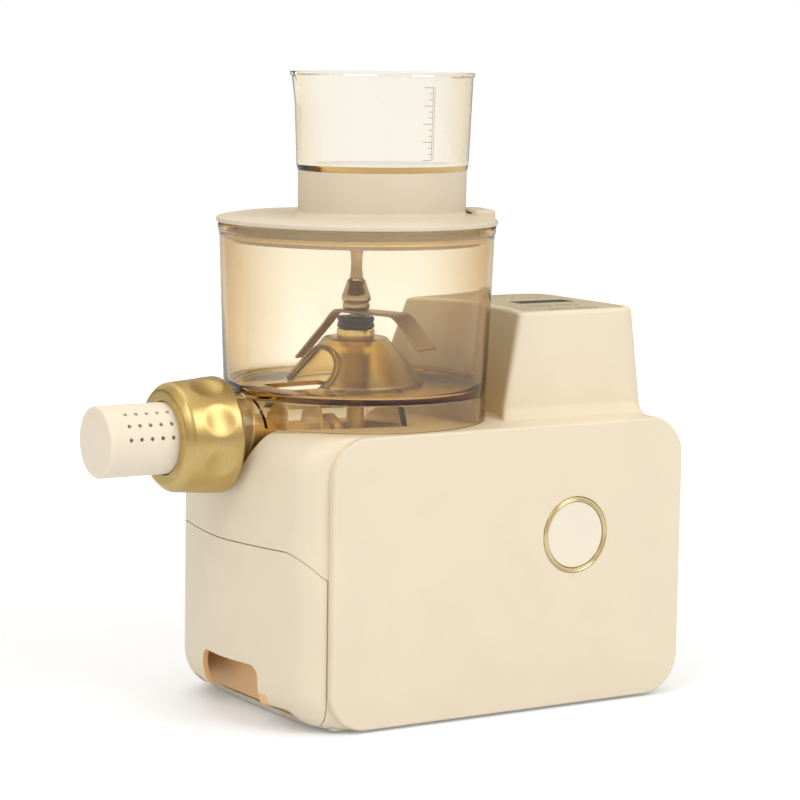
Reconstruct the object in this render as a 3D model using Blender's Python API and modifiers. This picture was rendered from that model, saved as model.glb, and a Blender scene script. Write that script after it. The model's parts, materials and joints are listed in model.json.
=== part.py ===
"""Electric pasta maker with a tall clear bowl, a side extruder, a tower and a storage drawer.

Units are metres and +Z is up. Sizes and places count from the bowl's axis, at table height. Once every
piece is built, all of them move along X, so that the origin lies under the middle of the machine. The
extruder points along -X, the flat side plate with the round button faces -Y, and the control tower
stands at +X.
"""
import math

import bmesh
import bpy
from mathutils import Matrix, Vector

# Fits and shared small sizes
GAP = 0.0003
OVERRUN = 0.0040
CORNER_STEPS = 4
ROUND_STEPS = 32
SMALL_STEPS = 20

# Side plates: the flat slabs that face front and back
PLATE_HEIGHT = 0.1500
PLATE_CORNER = 0.0210
PLATE_THICKNESS = 0.0040
PLATE_EDGE = 0.0014
PLATE_TUCK = 0.0141
BODY_MARGIN = 0.0029
FOOT_HEIGHT = 0.0015

# Housing: the core between the plates
END_BULGE = 0.0252
END_CORNER = 0.0125
END_CROWN = 0.0132
END_CROWN_POWER = 1.5
END_STATION_SHARES = (0.76, 0.50, 0.25, 0.0)
REAR_BULGE = 0.0050
CORE_CORNER = 0.0230
HOUSING_WALL = 0.0025
BOTTOM_MARGIN = 0.0050

# Tower: the raised part behind the bowl, with the control panel on top
TOWER_RISE = 0.0558
TOWER_LENGTH = 0.0921
TOWER_FRONT_INSET = 0.0237
TOWER_BACK_INSET = 0.0072
TOWER_RIGHT_INSET = 0.0018
TOWER_DRAFT = 0.0040
TOWER_FOOT_FLARE = 0.0055
TOWER_FOOT_RISE = 0.0070
TOWER_FOOT_SHARES = (0.0, 0.25, 0.55, 1.0)
TOWER_CUP_MARGIN = 0.0089
TOWER_CUP_LEAN = 0.0075
TOWER_FRONT_CORNER = 0.0170
TOWER_NOSE_CORNER = 0.0065
TOWER_TOP_EDGE = 0.0024
TOWER_ROOT = 0.0200
CUP_STEPS = 8

# Control panel, display and touch keys on the tower's top
PANEL_MARGIN = 0.0020
PANEL_DEPTH = 0.0012
DISPLAY_OFFSET = 0.00365
DISPLAY_ROW_STEP = 0.0205
DISPLAY_LENGTH = 0.0365
DISPLAY_WIDTH = 0.0140
DISPLAY_DEPTH = 0.0008
KEY_LENGTH = 0.0140
KEY_WIDTH = 0.0090
KEY_DEPTH = 0.0006
KEY_COLUMN_OFFSET = 0.0155
KEY_COLUMN_STEP = 0.0180
KEY_ROW_STEP = 0.0185
KEY_FRONT_MARGIN = 0.0140
BOARD_LENGTH_MARGIN = 0.0069
BOARD_FRONT_MARGIN = 0.0140
BOARD_THICKNESS = 0.0016
BOARD_DROP = 0.0080
PEG_RADIUS = 0.0030
PEG_INSET = 0.0060

# Push button on the front plate
BUTTON_INSET = 0.0697
BUTTON_DROP = 0.0592
BUTTON_RING_RADIUS = 0.0201
BUTTON_RING_WIDTH = 0.0023
BUTTON_RING_PROUD = 0.0004
BUTTON_RING_DEPTH = 0.0040
BUTTON_CAP_THICKNESS = 0.0026
BUTTON_STEM_RADIUS = 0.0035
BUTTON_TRAVEL = 0.0012
SWITCH_SIZE = 0.0140
SWITCH_DEPTH = 0.0090

# Base plate, feet, screws and vents
BASE_THICKNESS = 0.0030
FOOT_LENGTH = 0.0360
FOOT_WIDTH = 0.0120
FOOT_FRONT_INSET = 0.0390
FOOT_REAR_INSET = 0.0325
FOOT_SIDE_INSET = 0.0117
BOSS_RADIUS = 0.0060
BOSS_HEIGHT = 0.0200
BOSS_FRONT_INSET = 0.0670
BOSS_REAR_INSET = 0.0510
BOSS_SIDE_INSET = 0.0052
SCREW_RADIUS = 0.0016
SCREW_HEAD_RADIUS = 0.0030
SCREW_HEAD_HEIGHT = 0.0016
SCREW_LENGTH = 0.0120
VENT_COUNT = 6
VENT_LENGTH = 0.0300
VENT_WIDTH = 0.0025
VENT_PITCH = 0.0060

# Extruder line: the auger's axis runs along X, just below the body's top
AXIS_DROP = 0.0043
TUBE_RADIUS = 0.0212
TUBE_WALL = 0.0030
TROUGH_CLEARANCE = 0.0018
TUBE_REAR = 0.0200
TUBE_CAP = 0.0025

# Drive: motor, gears and the coupling under the bowl
MOTOR_X = 0.0610
MOTOR_RADIUS = 0.0290
MOTOR_BOSS_RADIUS = 0.0100
MOTOR_SHAFT_RADIUS = 0.0025
FAN_RADIUS = 0.0200
FAN_THICKNESS = 0.0050
FAN_BLADES = 9
FAN_TURN_SHARES = (0.0, 0.20, 0.50, 0.60)
MOTOR_LIFT = 0.0090
MOTOR_LEG_RADIUS = 0.0040
GEAR_PLATE_THICKNESS = 0.0030
GEAR_PLATE_HALF_WIDTH = 0.0300
GEAR_PLATE_MARGIN = 0.0070
GEAR_X = 0.0330
GEAR_WIDTH = 0.0060
OUTPUT_RADIUS = 0.0258
REDUCTION_PINION_RADIUS = 0.0069
PINION_RADIUS = 0.0060
TOOTH_HEIGHT = 0.0016
TOOTH_PITCH = 0.0050
TOOTH_TURN_SHARES = (0.0, 0.15, 0.40, 0.55)
FEWEST_TEETH = 8
COUPLING_RADIUS = 0.0100
COUPLING_HEIGHT = 0.0095
COUPLING_REACH = 0.0150
DOG_RADIUS = 0.0062

# Power inlet at the rear end and the power board
INLET_WIDTH = 0.0260
INLET_HEIGHT = 0.0190
INLET_DEPTH = 0.0180
INLET_Z = 0.0380
INLET_FLANGE = 0.0025
POWER_BOARD_WIDTH = 0.0700
POWER_BOARD_FRONT_MARGIN = 0.0080
POWER_BOARD_REAR_INSET = 0.0250

# Bowl
BOWL_TOP_RADIUS = 0.0720
BOWL_DRAFT = 0.0027
SKIRT_STEP = 0.0002
RIM_PROUD = 0.0008
BOWL_WALL = 0.0024
BOWL_FLOOR = 0.0025
BOWL_DEPTH = 0.0855
TUBE_COVER = 0.0001
RIM_BAND = 0.0036
RIM_FLARE = 0.0020
HUB_RADIUS = 0.0082
HUB_HEIGHT = 0.0150
INLET_SLOT_HALF_WIDTH = 0.0130
INLET_SLOT_NEAR = -0.0150
INLET_SLOT_FAR = -0.0480
THREAD_RIDGE = 0.0016
THREAD_PITCH = 0.0050
THREAD_COUNT = 3
THREAD_REACH = 0.0017
BARREL_LENGTH = 0.0150
BARREL_NECK_PROUD = 0.0010

# Cone pedestal in the middle of the bowl
CONE_TOP_RADIUS = 0.0163
CONE_BASE_RADIUS = 0.0360
CONE_HEIGHT = 0.0245
CONE_WALL = 0.0020
CONE_FOOT_WALL = 0.0030
ARCH_RADIUS = 0.0195

# Stirring spindle stack
SHAFT_RADIUS = 0.0045
SHAFT_BORE_CLEARANCE = 0.0004
SQUARE_WIDTH = 0.0046
SQUARE_LENGTH = 0.0080
COLLAR_RADIUS = 0.0098
COLLAR_FLANGE = 0.0045
COLLAR_SLEEVE_RADIUS = 0.0086
COLLAR_SLEEVE_LENGTH = 0.0060
SEAL_HEIGHT = 0.0060
BLADE_THICKNESS = 0.0014
BLADE_HALF_WIDTH = 0.0078
BLADE_NEAR_BEND = 0.0300
BLADE_NEAR_TIP = 0.0470
BLADE_NEAR_DROP = 0.0170
BLADE_FAR_BEND = 0.0120
BLADE_FAR_TIP = 0.0385
BLADE_FAR_DROP = 0.0290
BLADE_FAR_HALF_WIDTH = 0.0036
BLADE_TURN = math.radians(-70.0)
BLADE_LIFT = 0.0022
SPINDLE_BEAD_RADIUS = 0.0077
SPINDLE_TOP_RADIUS = 0.0036
SPINDLE_SHOULDER_RADIUS = 0.0048
SPINDLE_HEAD_ROOM = 0.0112
# Heights as shares of the spindle's height, radii as shares of the bead's and of the top's radius
BEAD_SHARES = ((0.0, 0.86), (0.04, 0.93), (0.09, 0.93), (0.11, 0.88), (0.13, 0.97), (0.20, 1.0),
               (0.24, 0.95), (0.34, 0.80), (0.47, 0.66))
SHOULDER_SHARE = 0.48
SHAFT_SHARES = ((0.485, 1.0), (0.66, 0.86), (0.76, 0.86), (0.96, 1.0))

# Auger and bevel gears
AUGER_CLEARANCE = 0.0010
AUGER_CORE_RADIUS = 0.0060
AUGER_FRONT_RADIUS = 0.0085
AUGER_PITCH = 0.0200
AUGER_FLIGHT = 0.0030
AUGER_REAR = -0.0180
AUGER_STEPS = 16
BEVEL_RADIUS = 0.0100
BEVEL_SMALL_RADIUS = 0.0066
BEVEL_WIDTH = 0.0042

# Ring nut and die cap
RING_CLEARANCE = 0.0020
RING_THICKNESS = 0.0078
RING_TAPER = 0.0021
RING_LENGTH = 0.0315
RING_CHAMFER = 0.0036
RING_FACE_INSET = 0.0033
RING_LIP = 0.0034
DENT_COUNT = 8
DENT_RADIUS = 0.0150
DENT_DEPTH = 0.0018
DIE_STEP = 0.0001
DIE_LENGTH = 0.0380
DIE_WALL = 0.0028
DIE_EDGE = 0.0016
DIE_HOLE_RADIUS = 0.00095
DIE_HOLE_PITCH = 0.0059
DIE_HOLE_COLUMNS = 5
DIE_HOLE_ROWS = 3
DIE_HOLE_GROUPS = 2
DIE_FIRST_ROW = math.radians(36.6)
DIE_ROW_STEP = math.radians(22.5)
DIE_HOLE_SIDES = 4
DIE_HOLE_INSET = 0.0115

# Lid
LID_OVERHANG = 0.0009
LID_EDGE = 0.0024
LID_CROWN = 0.0020
LID_THICKNESS = 0.0026
LID_SKIRT_WALL = 0.0018
LID_SKIRT_DEPTH = 0.0100
NECK_X = 0.0153
NECK_MARGIN = 0.0010
NECK_OVALITY = 0.0110
NECK_WALL = 0.0022
NECK_HEIGHT = 0.0224
TAB_MARGIN = 0.0022
TAB_LENGTH = 0.0115
TAB_WIDTH = 0.0320
TAB_HEIGHT = 0.0045
TAB_TURN = math.radians(-16.0)
GASKET_WIDTH = 0.0045
GASKET_HEIGHT = 0.0034

# Measuring cup
CUP_LENGTH_FLARE = 0.0030
CUP_WIDTH_FLARE = 0.0020
CUP_HEIGHT = 0.0509
CUP_BASE_PROUD = 0.0008
CUP_WALL = 0.0018
CUP_FLOOR = 0.0030
CUP_LIP = 0.0007
CUP_LIP_HEIGHT = 0.0020
CUP_SPIGOT_DEPTH = 0.0050
CUP_FIT = 0.0005
CUP_HEIGHT_SHARES = (0.0, 0.35, 0.68, 0.80, 0.90, 0.955, 0.96, 1.0)
SPOUT_REACH = 0.0038
SPOUT_DEPTH = 0.0155
SPOUT_WIDTH_SHARE = 0.13
SPOUT_POWER = 1.5
OVAL_POINTS = 36

# Drawer
DRAWER_DROP = 0.0579
DRAWER_CORNER = 0.0170
DRAWER_SEAM = 0.0005
DRAWER_FRONT_WALL = 0.0030
DRAWER_BACK = -0.0030
DRAWER_RAISE = 0.0115
DRAWER_RAISE_INSET = 0.0177
DRAWER_RAISE_SLOPE = 0.0070
TRAY_REACH = 0.0030
TRAY_SIDE_INSET = 0.0137
WEB_SIDE_INSET = 0.0060
TRAY_DROP = 0.0175
TRAY_WALL = 0.0022
TRAY_CLEARANCE = 0.0016
NOTCH_TOP = 0.0315
NOTCH_NEAR = -0.0220
NOTCH_FAR = 0.0220
NOTCH_SLOPE = 0.0160
NOTCH_CORNER = 0.0040

# The bowl's rings, and the body that they set the size of
BOWL_FLOOR_RADIUS = BOWL_TOP_RADIUS - BOWL_DRAFT
BOWL_SKIRT_RADIUS = BOWL_FLOOR_RADIUS - SKIRT_STEP
BOWL_RIM_RADIUS = BOWL_TOP_RADIUS + RIM_PROUD
PLATE_LEFT = PLATE_TUCK - BOWL_SKIRT_RADIUS
PLATE_FACE = BOWL_SKIRT_RADIUS + BODY_MARGIN
BODY_BOTTOM = FOOT_HEIGHT
BODY_TOP = BODY_BOTTOM + PLATE_HEIGHT
CORE_HALF = PLATE_FACE - PLATE_THICKNESS - GAP
CAVITY_HALF = CORE_HALF - HOUSING_WALL
TOWER_TOP = BODY_TOP + TOWER_RISE
TOWER_FRONT = TOWER_FRONT_INSET - CORE_HALF
TOWER_BACK = CORE_HALF - TOWER_BACK_INSET
TOWER_RIGHT = BOWL_SKIRT_RADIUS + TOWER_LENGTH
TOWER_CUP_RADIUS = BOWL_SKIRT_RADIUS + TOWER_CUP_MARGIN
PLATE_RIGHT = TOWER_RIGHT + TOWER_RIGHT_INSET
BASE_TOP = BODY_BOTTOM + BASE_THICKNESS
BASE_LEFT = PLATE_LEFT + BOTTOM_MARGIN
BASE_RIGHT = PLATE_RIGHT - CORE_CORNER - BOTTOM_MARGIN
FOOT_FRONT_X = PLATE_LEFT + FOOT_FRONT_INSET
FOOT_REAR_X = PLATE_RIGHT - FOOT_REAR_INSET
FOOT_Y = CORE_HALF - FOOT_SIDE_INSET
BOSS_FRONT_X = PLATE_LEFT + BOSS_FRONT_INSET
BOSS_REAR_X = PLATE_RIGHT - BOSS_REAR_INSET
BOSS_Y = CAVITY_HALF - BOSS_SIDE_INSET

# Places on the tower's top and on the front plate
PANEL_LEFT = TOWER_CUP_RADIUS + TOWER_CUP_LEAN + TOWER_TOP_EDGE + PANEL_MARGIN
PANEL_RIGHT = TOWER_RIGHT - TOWER_DRAFT - TOWER_TOP_EDGE - PANEL_MARGIN
KEY_FIRST_Y = TOWER_FRONT + KEY_FRONT_MARGIN + KEY_ROW_STEP
DISPLAY_X = (PANEL_LEFT + PANEL_RIGHT) / 2 + DISPLAY_OFFSET
DISPLAY_Y = KEY_FIRST_Y + DISPLAY_ROW_STEP
KEY_FIRST_X = DISPLAY_X - KEY_COLUMN_OFFSET
BOARD_LENGTH = PANEL_RIGHT - PANEL_LEFT - BOARD_LENGTH_MARGIN
BOARD_WIDTH = -2 * (TOWER_FRONT + BOARD_FRONT_MARGIN)
BUTTON_X = PLATE_RIGHT - BUTTON_INSET
BUTTON_Z = BODY_TOP - BUTTON_DROP

# Heights and radii of the extruder line
AXIS_Z = BODY_TOP - AXIS_DROP
TUBE_BORE = TUBE_RADIUS - TUBE_WALL
TROUGH_RADIUS = TUBE_RADIUS + TROUGH_CLEARANCE
LINER_RADIUS = TROUGH_RADIUS + HOUSING_WALL
RING_BACK = PLATE_LEFT - END_BULGE - RING_CLEARANCE
RING_FRONT = RING_BACK - RING_LENGTH
THREAD_START = RING_BACK + THREAD_REACH
BARREL_FRONT = THREAD_START - BARREL_LENGTH
BARREL_NECK_RADIUS = TUBE_RADIUS + BARREL_NECK_PROUD
RING_RADIUS = BARREL_NECK_RADIUS + RING_THICKNESS
RING_FRONT_RADIUS = RING_RADIUS - RING_TAPER
RING_FACE_RADIUS = RING_FRONT_RADIUS - RING_FACE_INSET
DIE_RADIUS = TUBE_BORE + DIE_STEP
DIE_END = RING_FRONT - DIE_LENGTH
DIE_HOLE_FIRST = DIE_END + DIE_HOLE_INSET
DIE_FLANGE_BACK = BARREL_FRONT - GAP
DIE_FLANGE_FRONT = RING_FRONT + RING_LIP + GAP

# Heights of the bowl and of what stands in it
BOWL_BOTTOM = BODY_TOP + GAP
BOWL_FLOOR_Z = AXIS_Z + TUBE_RADIUS + TUBE_COVER
BOWL_RIM_Z = BOWL_FLOOR_Z + BOWL_DEPTH
CONE_TOP = BOWL_FLOOR_Z + GAP + CONE_HEIGHT
COLLAR_TOP = CONE_TOP + GAP + COLLAR_FLANGE
SEAL_BOTTOM = COLLAR_TOP + GAP
SEAL_TOP = SEAL_BOTTOM + SEAL_HEIGHT
BLADE_BOTTOM = SEAL_TOP + BLADE_LIFT
BLADE_TOP = BLADE_BOTTOM + BLADE_THICKNESS
SPINDLE_BOTTOM = BLADE_TOP + GAP
SPINDLE_TOP = BOWL_RIM_Z - SPINDLE_HEAD_ROOM
SPINDLE_HEIGHT = SPINDLE_TOP - SPINDLE_BOTTOM
SHAFT_BORE = SHAFT_RADIUS + SHAFT_BORE_CLEARANCE

# Heights of the drive, from the coupling under the trough down to the motor
COUPLING_TOP = AXIS_Z - TROUGH_RADIUS - COUPLING_REACH
COUPLING_BOTTOM = COUPLING_TOP - COUPLING_HEIGHT
DOG_DEPTH = COUPLING_HEIGHT / 2
OUTPUT_TOP = COUPLING_BOTTOM - GAP
OUTPUT_BOTTOM = OUTPUT_TOP - GEAR_WIDTH
WHEEL_BOTTOM = OUTPUT_TOP + GAP
WHEEL_TOP = WHEEL_BOTTOM + GEAR_WIDTH
GEAR_PLATE_TOP = OUTPUT_BOTTOM - GAP
GEAR_PLATE_BOTTOM = GEAR_PLATE_TOP - GEAR_PLATE_THICKNESS
MOTOR_TOP = GEAR_PLATE_BOTTOM - GAP
MOTOR_BOTTOM = BASE_TOP + GAP + MOTOR_LIFT
REDUCTION_RADIUS = MOTOR_X - GEAR_X - PINION_RADIUS - GAP
POWER_BOARD_LEFT = MOTOR_X + MOTOR_RADIUS + POWER_BOARD_FRONT_MARGIN
POWER_BOARD_RIGHT = PLATE_RIGHT - POWER_BOARD_REAR_INSET

# Lid, cup and drawer
LID_BOTTOM = BOWL_RIM_Z + GAP
LID_TOP = LID_BOTTOM + LID_EDGE
LID_RADIUS = BOWL_RIM_RADIUS + LID_OVERHANG
LID_SKIRT_RADIUS = BOWL_TOP_RADIUS - BOWL_WALL - GASKET_WIDTH
LID_SKIRT_BORE = LID_SKIRT_RADIUS - LID_SKIRT_WALL
NECK_HALF_LENGTH = LID_SKIRT_BORE - NECK_X - NECK_MARGIN
NECK_HALF_WIDTH = NECK_HALF_LENGTH - NECK_OVALITY
NECK_TOP_Z = LID_TOP + LID_CROWN + NECK_HEIGHT
TAB_START = LID_RADIUS - TAB_LENGTH - TAB_MARGIN
CUP_BOTTOM = NECK_TOP_Z + GAP
CUP_TOP = CUP_BOTTOM + CUP_HEIGHT
CUP_RIM_HALF_LENGTH = NECK_HALF_LENGTH + CUP_LENGTH_FLARE
CUP_RIM_HALF_WIDTH = NECK_HALF_WIDTH + CUP_WIDTH_FLARE
DRAWER_TOP = BODY_TOP - DRAWER_DROP
DRAWER_RAISE_HALF = CORE_HALF - DRAWER_RAISE_INSET
TRAY_FRONT = PLATE_LEFT - TRAY_REACH
TRAY_HALF_WIDTH = CORE_HALF - TRAY_SIDE_INSET
TRAY_TOP = DRAWER_TOP - TRAY_DROP
WEB_HALF_WIDTH = TRAY_HALF_WIDTH - WEB_SIDE_INSET

# The middle of the machine's length lies over the origin
MIDDLE_X = (PLATE_RIGHT + REAR_BULGE + DIE_END) / 2

COLOURS = {
    "cream": ((0.86, 0.78, 0.62, 1.0), 0.45, 0.0),
    "panel": ((0.80, 0.74, 0.58, 1.0), 0.35, 0.0),
    "amber": ((0.85, 0.60, 0.22, 1.0), 0.12, 0.0),
    "gold": ((0.78, 0.62, 0.28, 1.0), 0.30, 1.0),
    "bronze": ((0.42, 0.34, 0.26, 1.0), 0.30, 1.0),
    "steel": ((0.62, 0.60, 0.58, 1.0), 0.25, 1.0),
    "black": ((0.03, 0.02, 0.02, 1.0), 0.30, 0.0),
    "rubber": ((0.75, 0.70, 0.60, 1.0), 0.80, 0.0),
    "board": ((0.05, 0.22, 0.12, 1.0), 0.50, 0.0),
}


def clear_scene():
    """Remove the objects that are in the scene."""
    for item in list(bpy.data.objects):
        bpy.data.objects.remove(item, do_unlink=True)


def new_collection(name):
    """Make a collection of the scene."""
    made = bpy.data.collections.new(name)
    bpy.context.scene.collection.children.link(made)
    return made


def finish_of(name):
    """Return the material of a colour name, made on its first use."""
    found = bpy.data.materials.get(name)
    if found:
        return found
    colour, roughness, metallic = COLOURS[name]
    made = bpy.data.materials.new(name)
    made.use_nodes = True
    shader = made.node_tree.nodes["Principled BSDF"]
    shader.inputs["Base Color"].default_value = colour
    shader.inputs["Roughness"].default_value = roughness
    shader.inputs["Metallic"].default_value = metallic
    return made


def add_object(name, mesh, finish=None):
    """Put a mesh in the scene, as a piece where a finish is given and as a cutter where none is."""
    item = bpy.data.objects.new(name, mesh)
    if finish:
        mesh.materials.clear()
        mesh.materials.append(finish_of(finish))
        PIECES.objects.link(item)
    else:
        item.hide_render = True
        item.display_type = "WIRE"
        CUTTERS.objects.link(item)
    return item


def mesh_of(name, work):
    """Turn a bmesh into a mesh with its faces pointing out."""
    bmesh.ops.recalc_face_normals(work, faces=work.faces)
    mesh = bpy.data.meshes.new(name)
    work.to_mesh(mesh)
    work.free()
    return mesh


def box(name, low, high, finish=None):
    """Make a box between two corners."""
    work = bmesh.new()
    low, high = Vector(low), Vector(high)
    size = high - low
    place = Matrix.Translation((low + high) / 2) @ Matrix.Diagonal((*size, 1.0))
    bmesh.ops.create_cube(work, size=1.0, matrix=place)
    return add_object(name, mesh_of(name, work), finish)


def cylinder(name, start, end, radius, finish=None, steps=ROUND_STEPS, end_radius=None):
    """Make a cylinder, or a cone where an end radius is given, between two points."""
    work = bmesh.new()
    start, end = Vector(start), Vector(end)
    line = end - start
    turn = line.to_track_quat("Z", "Y").to_matrix().to_4x4()
    place = Matrix.Translation((start + end) / 2) @ turn
    second = radius if end_radius is None else end_radius
    bmesh.ops.create_cone(work, cap_ends=True, segments=steps, radius1=radius, radius2=second,
                          depth=line.length, matrix=place)
    return add_object(name, mesh_of(name, work), finish)


def turned(name, profile, finish=None, steps=ROUND_STEPS, axis="Z", place=(0, 0, 0), closed=False):
    """Turn a profile of (radius, height) points about an axis with a Screw modifier.

    A profile that runs up its outer side is reversed, so that the faces always point out.
    """
    area = sum(first[0] * second[1] - second[0] * first[1]
               for first, second in zip(profile, profile[1:] + profile[:1]))
    if area > 0:
        profile = profile[::-1]
    work = bmesh.new()
    points = [work.verts.new((radius, 0, height)) for radius, height in profile]
    for first, second in zip(points, points[1:]):
        work.edges.new((first, second))
    if closed:
        work.edges.new((points[-1], points[0]))
    mesh = bpy.data.meshes.new(name)
    work.to_mesh(mesh)
    work.free()
    item = add_object(name, mesh, finish)
    screw = item.modifiers.new("Turn", "SCREW")
    screw.steps = steps
    screw.render_steps = steps
    screw.use_merge_vertices = True
    screw.merge_threshold = 0.00001
    if axis == "X":
        item.rotation_euler = (0, math.pi / 2, 0)
    if axis == "Y":
        item.rotation_euler = (-math.pi / 2, 0, 0)
    item.location = place
    return item


def loft(name, rings, finish=None):
    """Join rings of points, with as many points in each, and close both ends."""
    work = bmesh.new()
    rows = [[work.verts.new(point) for point in ring] for ring in rings]
    for row, after in zip(rows, rows[1:]):
        for index, corner in enumerate(row):
            beside = (index + 1) % len(row)
            work.faces.new((corner, row[beside], after[beside], after[index]))
    work.faces.new(rows[0])
    work.faces.new(rows[-1])
    return add_object(name, mesh_of(name, work), finish)


def outline_solid(name, loops, bottom, top, finish=None):
    """Fill a flat outline, with inner loops as holes, and give it height along Z."""
    curve = bpy.data.curves.new(name, "CURVE")
    curve.dimensions = "2D"
    curve.fill_mode = "BOTH"
    curve.extrude = (top - bottom) / 2
    for loop in loops:
        spline = curve.splines.new("POLY")
        spline.points.add(len(loop) - 1)
        for point, (across, along) in zip(spline.points, loop):
            point.co = (across, along, 0, 1)
        spline.use_cyclic_u = True
    guide = bpy.data.objects.new(name + "_curve", curve)
    CUTTERS.objects.link(guide)
    guide.location = (0, 0, (top + bottom) / 2)
    return solid_of_curve(name, guide, finish)


def solid_of_curve(name, guide, finish):
    """Turn a curve object into a welded mesh object in the same place."""
    bpy.context.view_layer.update()
    seen = guide.evaluated_get(bpy.context.evaluated_depsgraph_get())
    mesh = bpy.data.meshes.new_from_object(seen)
    work = bmesh.new()
    work.from_mesh(mesh)
    work.transform(guide.matrix_world)
    bmesh.ops.remove_doubles(work, verts=work.verts, dist=GAP / ROUND_STEPS)
    bpy.data.meshes.remove(mesh)
    bpy.data.objects.remove(guide, do_unlink=True)
    return add_object(name, mesh_of(name, work), finish)


def combine(item, other, operation):
    """Add a Boolean modifier that cuts, joins or keeps what is shared."""
    boolean = item.modifiers.new(operation.title() + " " + other.name, "BOOLEAN")
    boolean.operation = operation
    boolean.solver = "EXACT"
    boolean.object = other
    return item


def cut(item, *others):
    """Cut others out of an object."""
    for other in others:
        combine(item, other, "DIFFERENCE")
    return item


def join(item, *others):
    """Join others to an object."""
    for other in others:
        combine(item, other, "UNION")
    return item


def smooth(item, angle=35.0):
    """Shade an object smooth except on its sharp edges."""
    item.data.shade_smooth()
    item.data.set_sharp_from_angle(angle=math.radians(angle))
    return item


def arc(centre, radius, start, end, steps):
    """List points on an arc, both ends included, with angles in degrees."""
    made = []
    for index in range(steps + 1):
        angle = math.radians(start + (end - start) * index / steps)
        made.append((centre[0] + radius * math.cos(angle), centre[1] + radius * math.sin(angle)))
    return made


def rounded_rectangle(left, right, bottom, top, radius, steps=CORNER_STEPS):
    """List the points of a rectangle with round corners, anticlockwise."""
    made = arc((right - radius, top - radius), radius, 0, 90, steps)
    made += arc((left + radius, top - radius), radius, 90, 180, steps)
    made += arc((left + radius, bottom + radius), radius, 180, 270, steps)
    made += arc((right - radius, bottom + radius), radius, 270, 360, steps)
    return made


def softened(corners, radii, steps=4):
    """Round each corner of a polygon that has a radius, and keep the others."""
    made = []
    count = len(corners)
    for index, corner in enumerate(corners):
        radius = radii[index]
        here = Vector(corner)
        if radius == 0:
            made.append(tuple(here))
            continue
        before = Vector(corners[index - 1]) - here
        after = Vector(corners[(index + 1) % count]) - here
        start = here + before.normalized() * radius
        end = here + after.normalized() * radius
        for step in range(steps + 1):
            share = step / steps
            first = start.lerp(here, share)
            second = here.lerp(end, share)
            made.append(tuple(first.lerp(second, share)))
    return made


def end_reach(across, half, bulge, corner, crown):
    """Return how far the end stands out past the plates at a distance across from the middle."""
    inset = half - abs(across)
    reach = bulge - crown * (abs(across) / half) ** END_CROWN_POWER
    if inset < corner:
        reach -= (bulge - crown) * (1 - math.sqrt(1 - (1 - inset / corner) ** 2))
    return reach


def core_rings(inset):
    """List the core's upright sections from front to back, all drawn in by an inset."""
    half = CORE_HALF - inset
    corner = END_CORNER - inset
    stations = []
    for index in range(CORNER_STEPS + 1):
        angle = math.radians(90 * index / CORNER_STEPS)
        stations.append(-half + corner * (1 - math.cos(angle)))
    flat_half = half - corner
    stations += [-flat_half * share for share in END_STATION_SHARES]
    stations += [-station for station in reversed(stations[:-1])]
    rings = []
    for across in stations:
        reach = end_reach(across, half, END_BULGE, corner, END_CROWN)
        rear = end_reach(across, half, REAR_BULGE, REAR_BULGE, 0)
        outline = rounded_rectangle(PLATE_LEFT - reach + inset, PLATE_RIGHT + rear - inset,
                                    BODY_BOTTOM + inset, BODY_TOP - inset, CORE_CORNER - inset)
        rings.append([(x, across, z) for x, z in outline])
    return rings


def tower_outline(rise_share, flare, inset):
    """List the tower's level outline at a share of its rise."""
    draft = TOWER_DRAFT * rise_share
    cup = TOWER_CUP_RADIUS + TOWER_CUP_LEAN * rise_share + inset
    front = TOWER_FRONT + draft + inset - flare
    back = TOWER_BACK - draft - inset + flare
    right = TOWER_RIGHT - draft - inset + flare
    left_front = (math.sqrt(cup ** 2 - front ** 2), front)
    left_back = (math.sqrt(cup ** 2 - back ** 2), back)
    angle_front = math.degrees(math.atan2(front, left_front[0]))
    angle_back = math.degrees(math.atan2(back, left_back[0]))
    wall = arc((0, 0), cup, angle_back, angle_front, CUP_STEPS)[1:-1]
    corners = [left_front, (right, front), (right, back), left_back] + wall
    nose = TOWER_NOSE_CORNER
    broad = TOWER_FRONT_CORNER - inset
    return softened(corners, [nose, broad, broad, nose] + [0] * len(wall))


def shoulder_drop(x):
    """Return how far the core's top has curved down at a place along X."""
    beyond = min(max(0.0, x - (PLATE_RIGHT + REAR_BULGE - CORE_CORNER)), CORE_CORNER)
    return CORE_CORNER - math.sqrt(CORE_CORNER ** 2 - beyond ** 2)


def tower_rings(inset):
    """List the tower's sections from inside the core to the top.

    The sections at its foot follow the core's shoulder, so that the fillet runs round evenly.
    """
    rings = []
    feet = [(-TOWER_ROOT, TOWER_FOOT_FLARE)]
    for share in TOWER_FOOT_SHARES:
        feet.append((TOWER_FOOT_RISE * share, TOWER_FOOT_FLARE * (1 - share) ** 2))
    for lift, flare in feet:
        outline = tower_outline(0.0, flare, inset)
        rings.append([(x, y, BODY_TOP + lift - shoulder_drop(x)) for x, y in outline])
    top = TOWER_TOP - inset
    for angle in (0, 30, 60, 90):
        lift = TOWER_TOP_EDGE * (1 - math.sin(math.radians(angle)))
        edge = TOWER_TOP_EDGE * (1 - math.cos(math.radians(angle)))
        rings.append([(x, y, top - lift) for x, y in tower_outline(1.0, 0.0, inset + edge)])
    return rings


def side_plate_outline(inset):
    """List the side plate's outline, drawn in by an inset."""
    return rounded_rectangle(PLATE_LEFT + inset, PLATE_RIGHT - inset, BODY_BOTTOM + inset,
                             BODY_TOP - inset, PLATE_CORNER - inset, CORNER_STEPS + 2)


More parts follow.
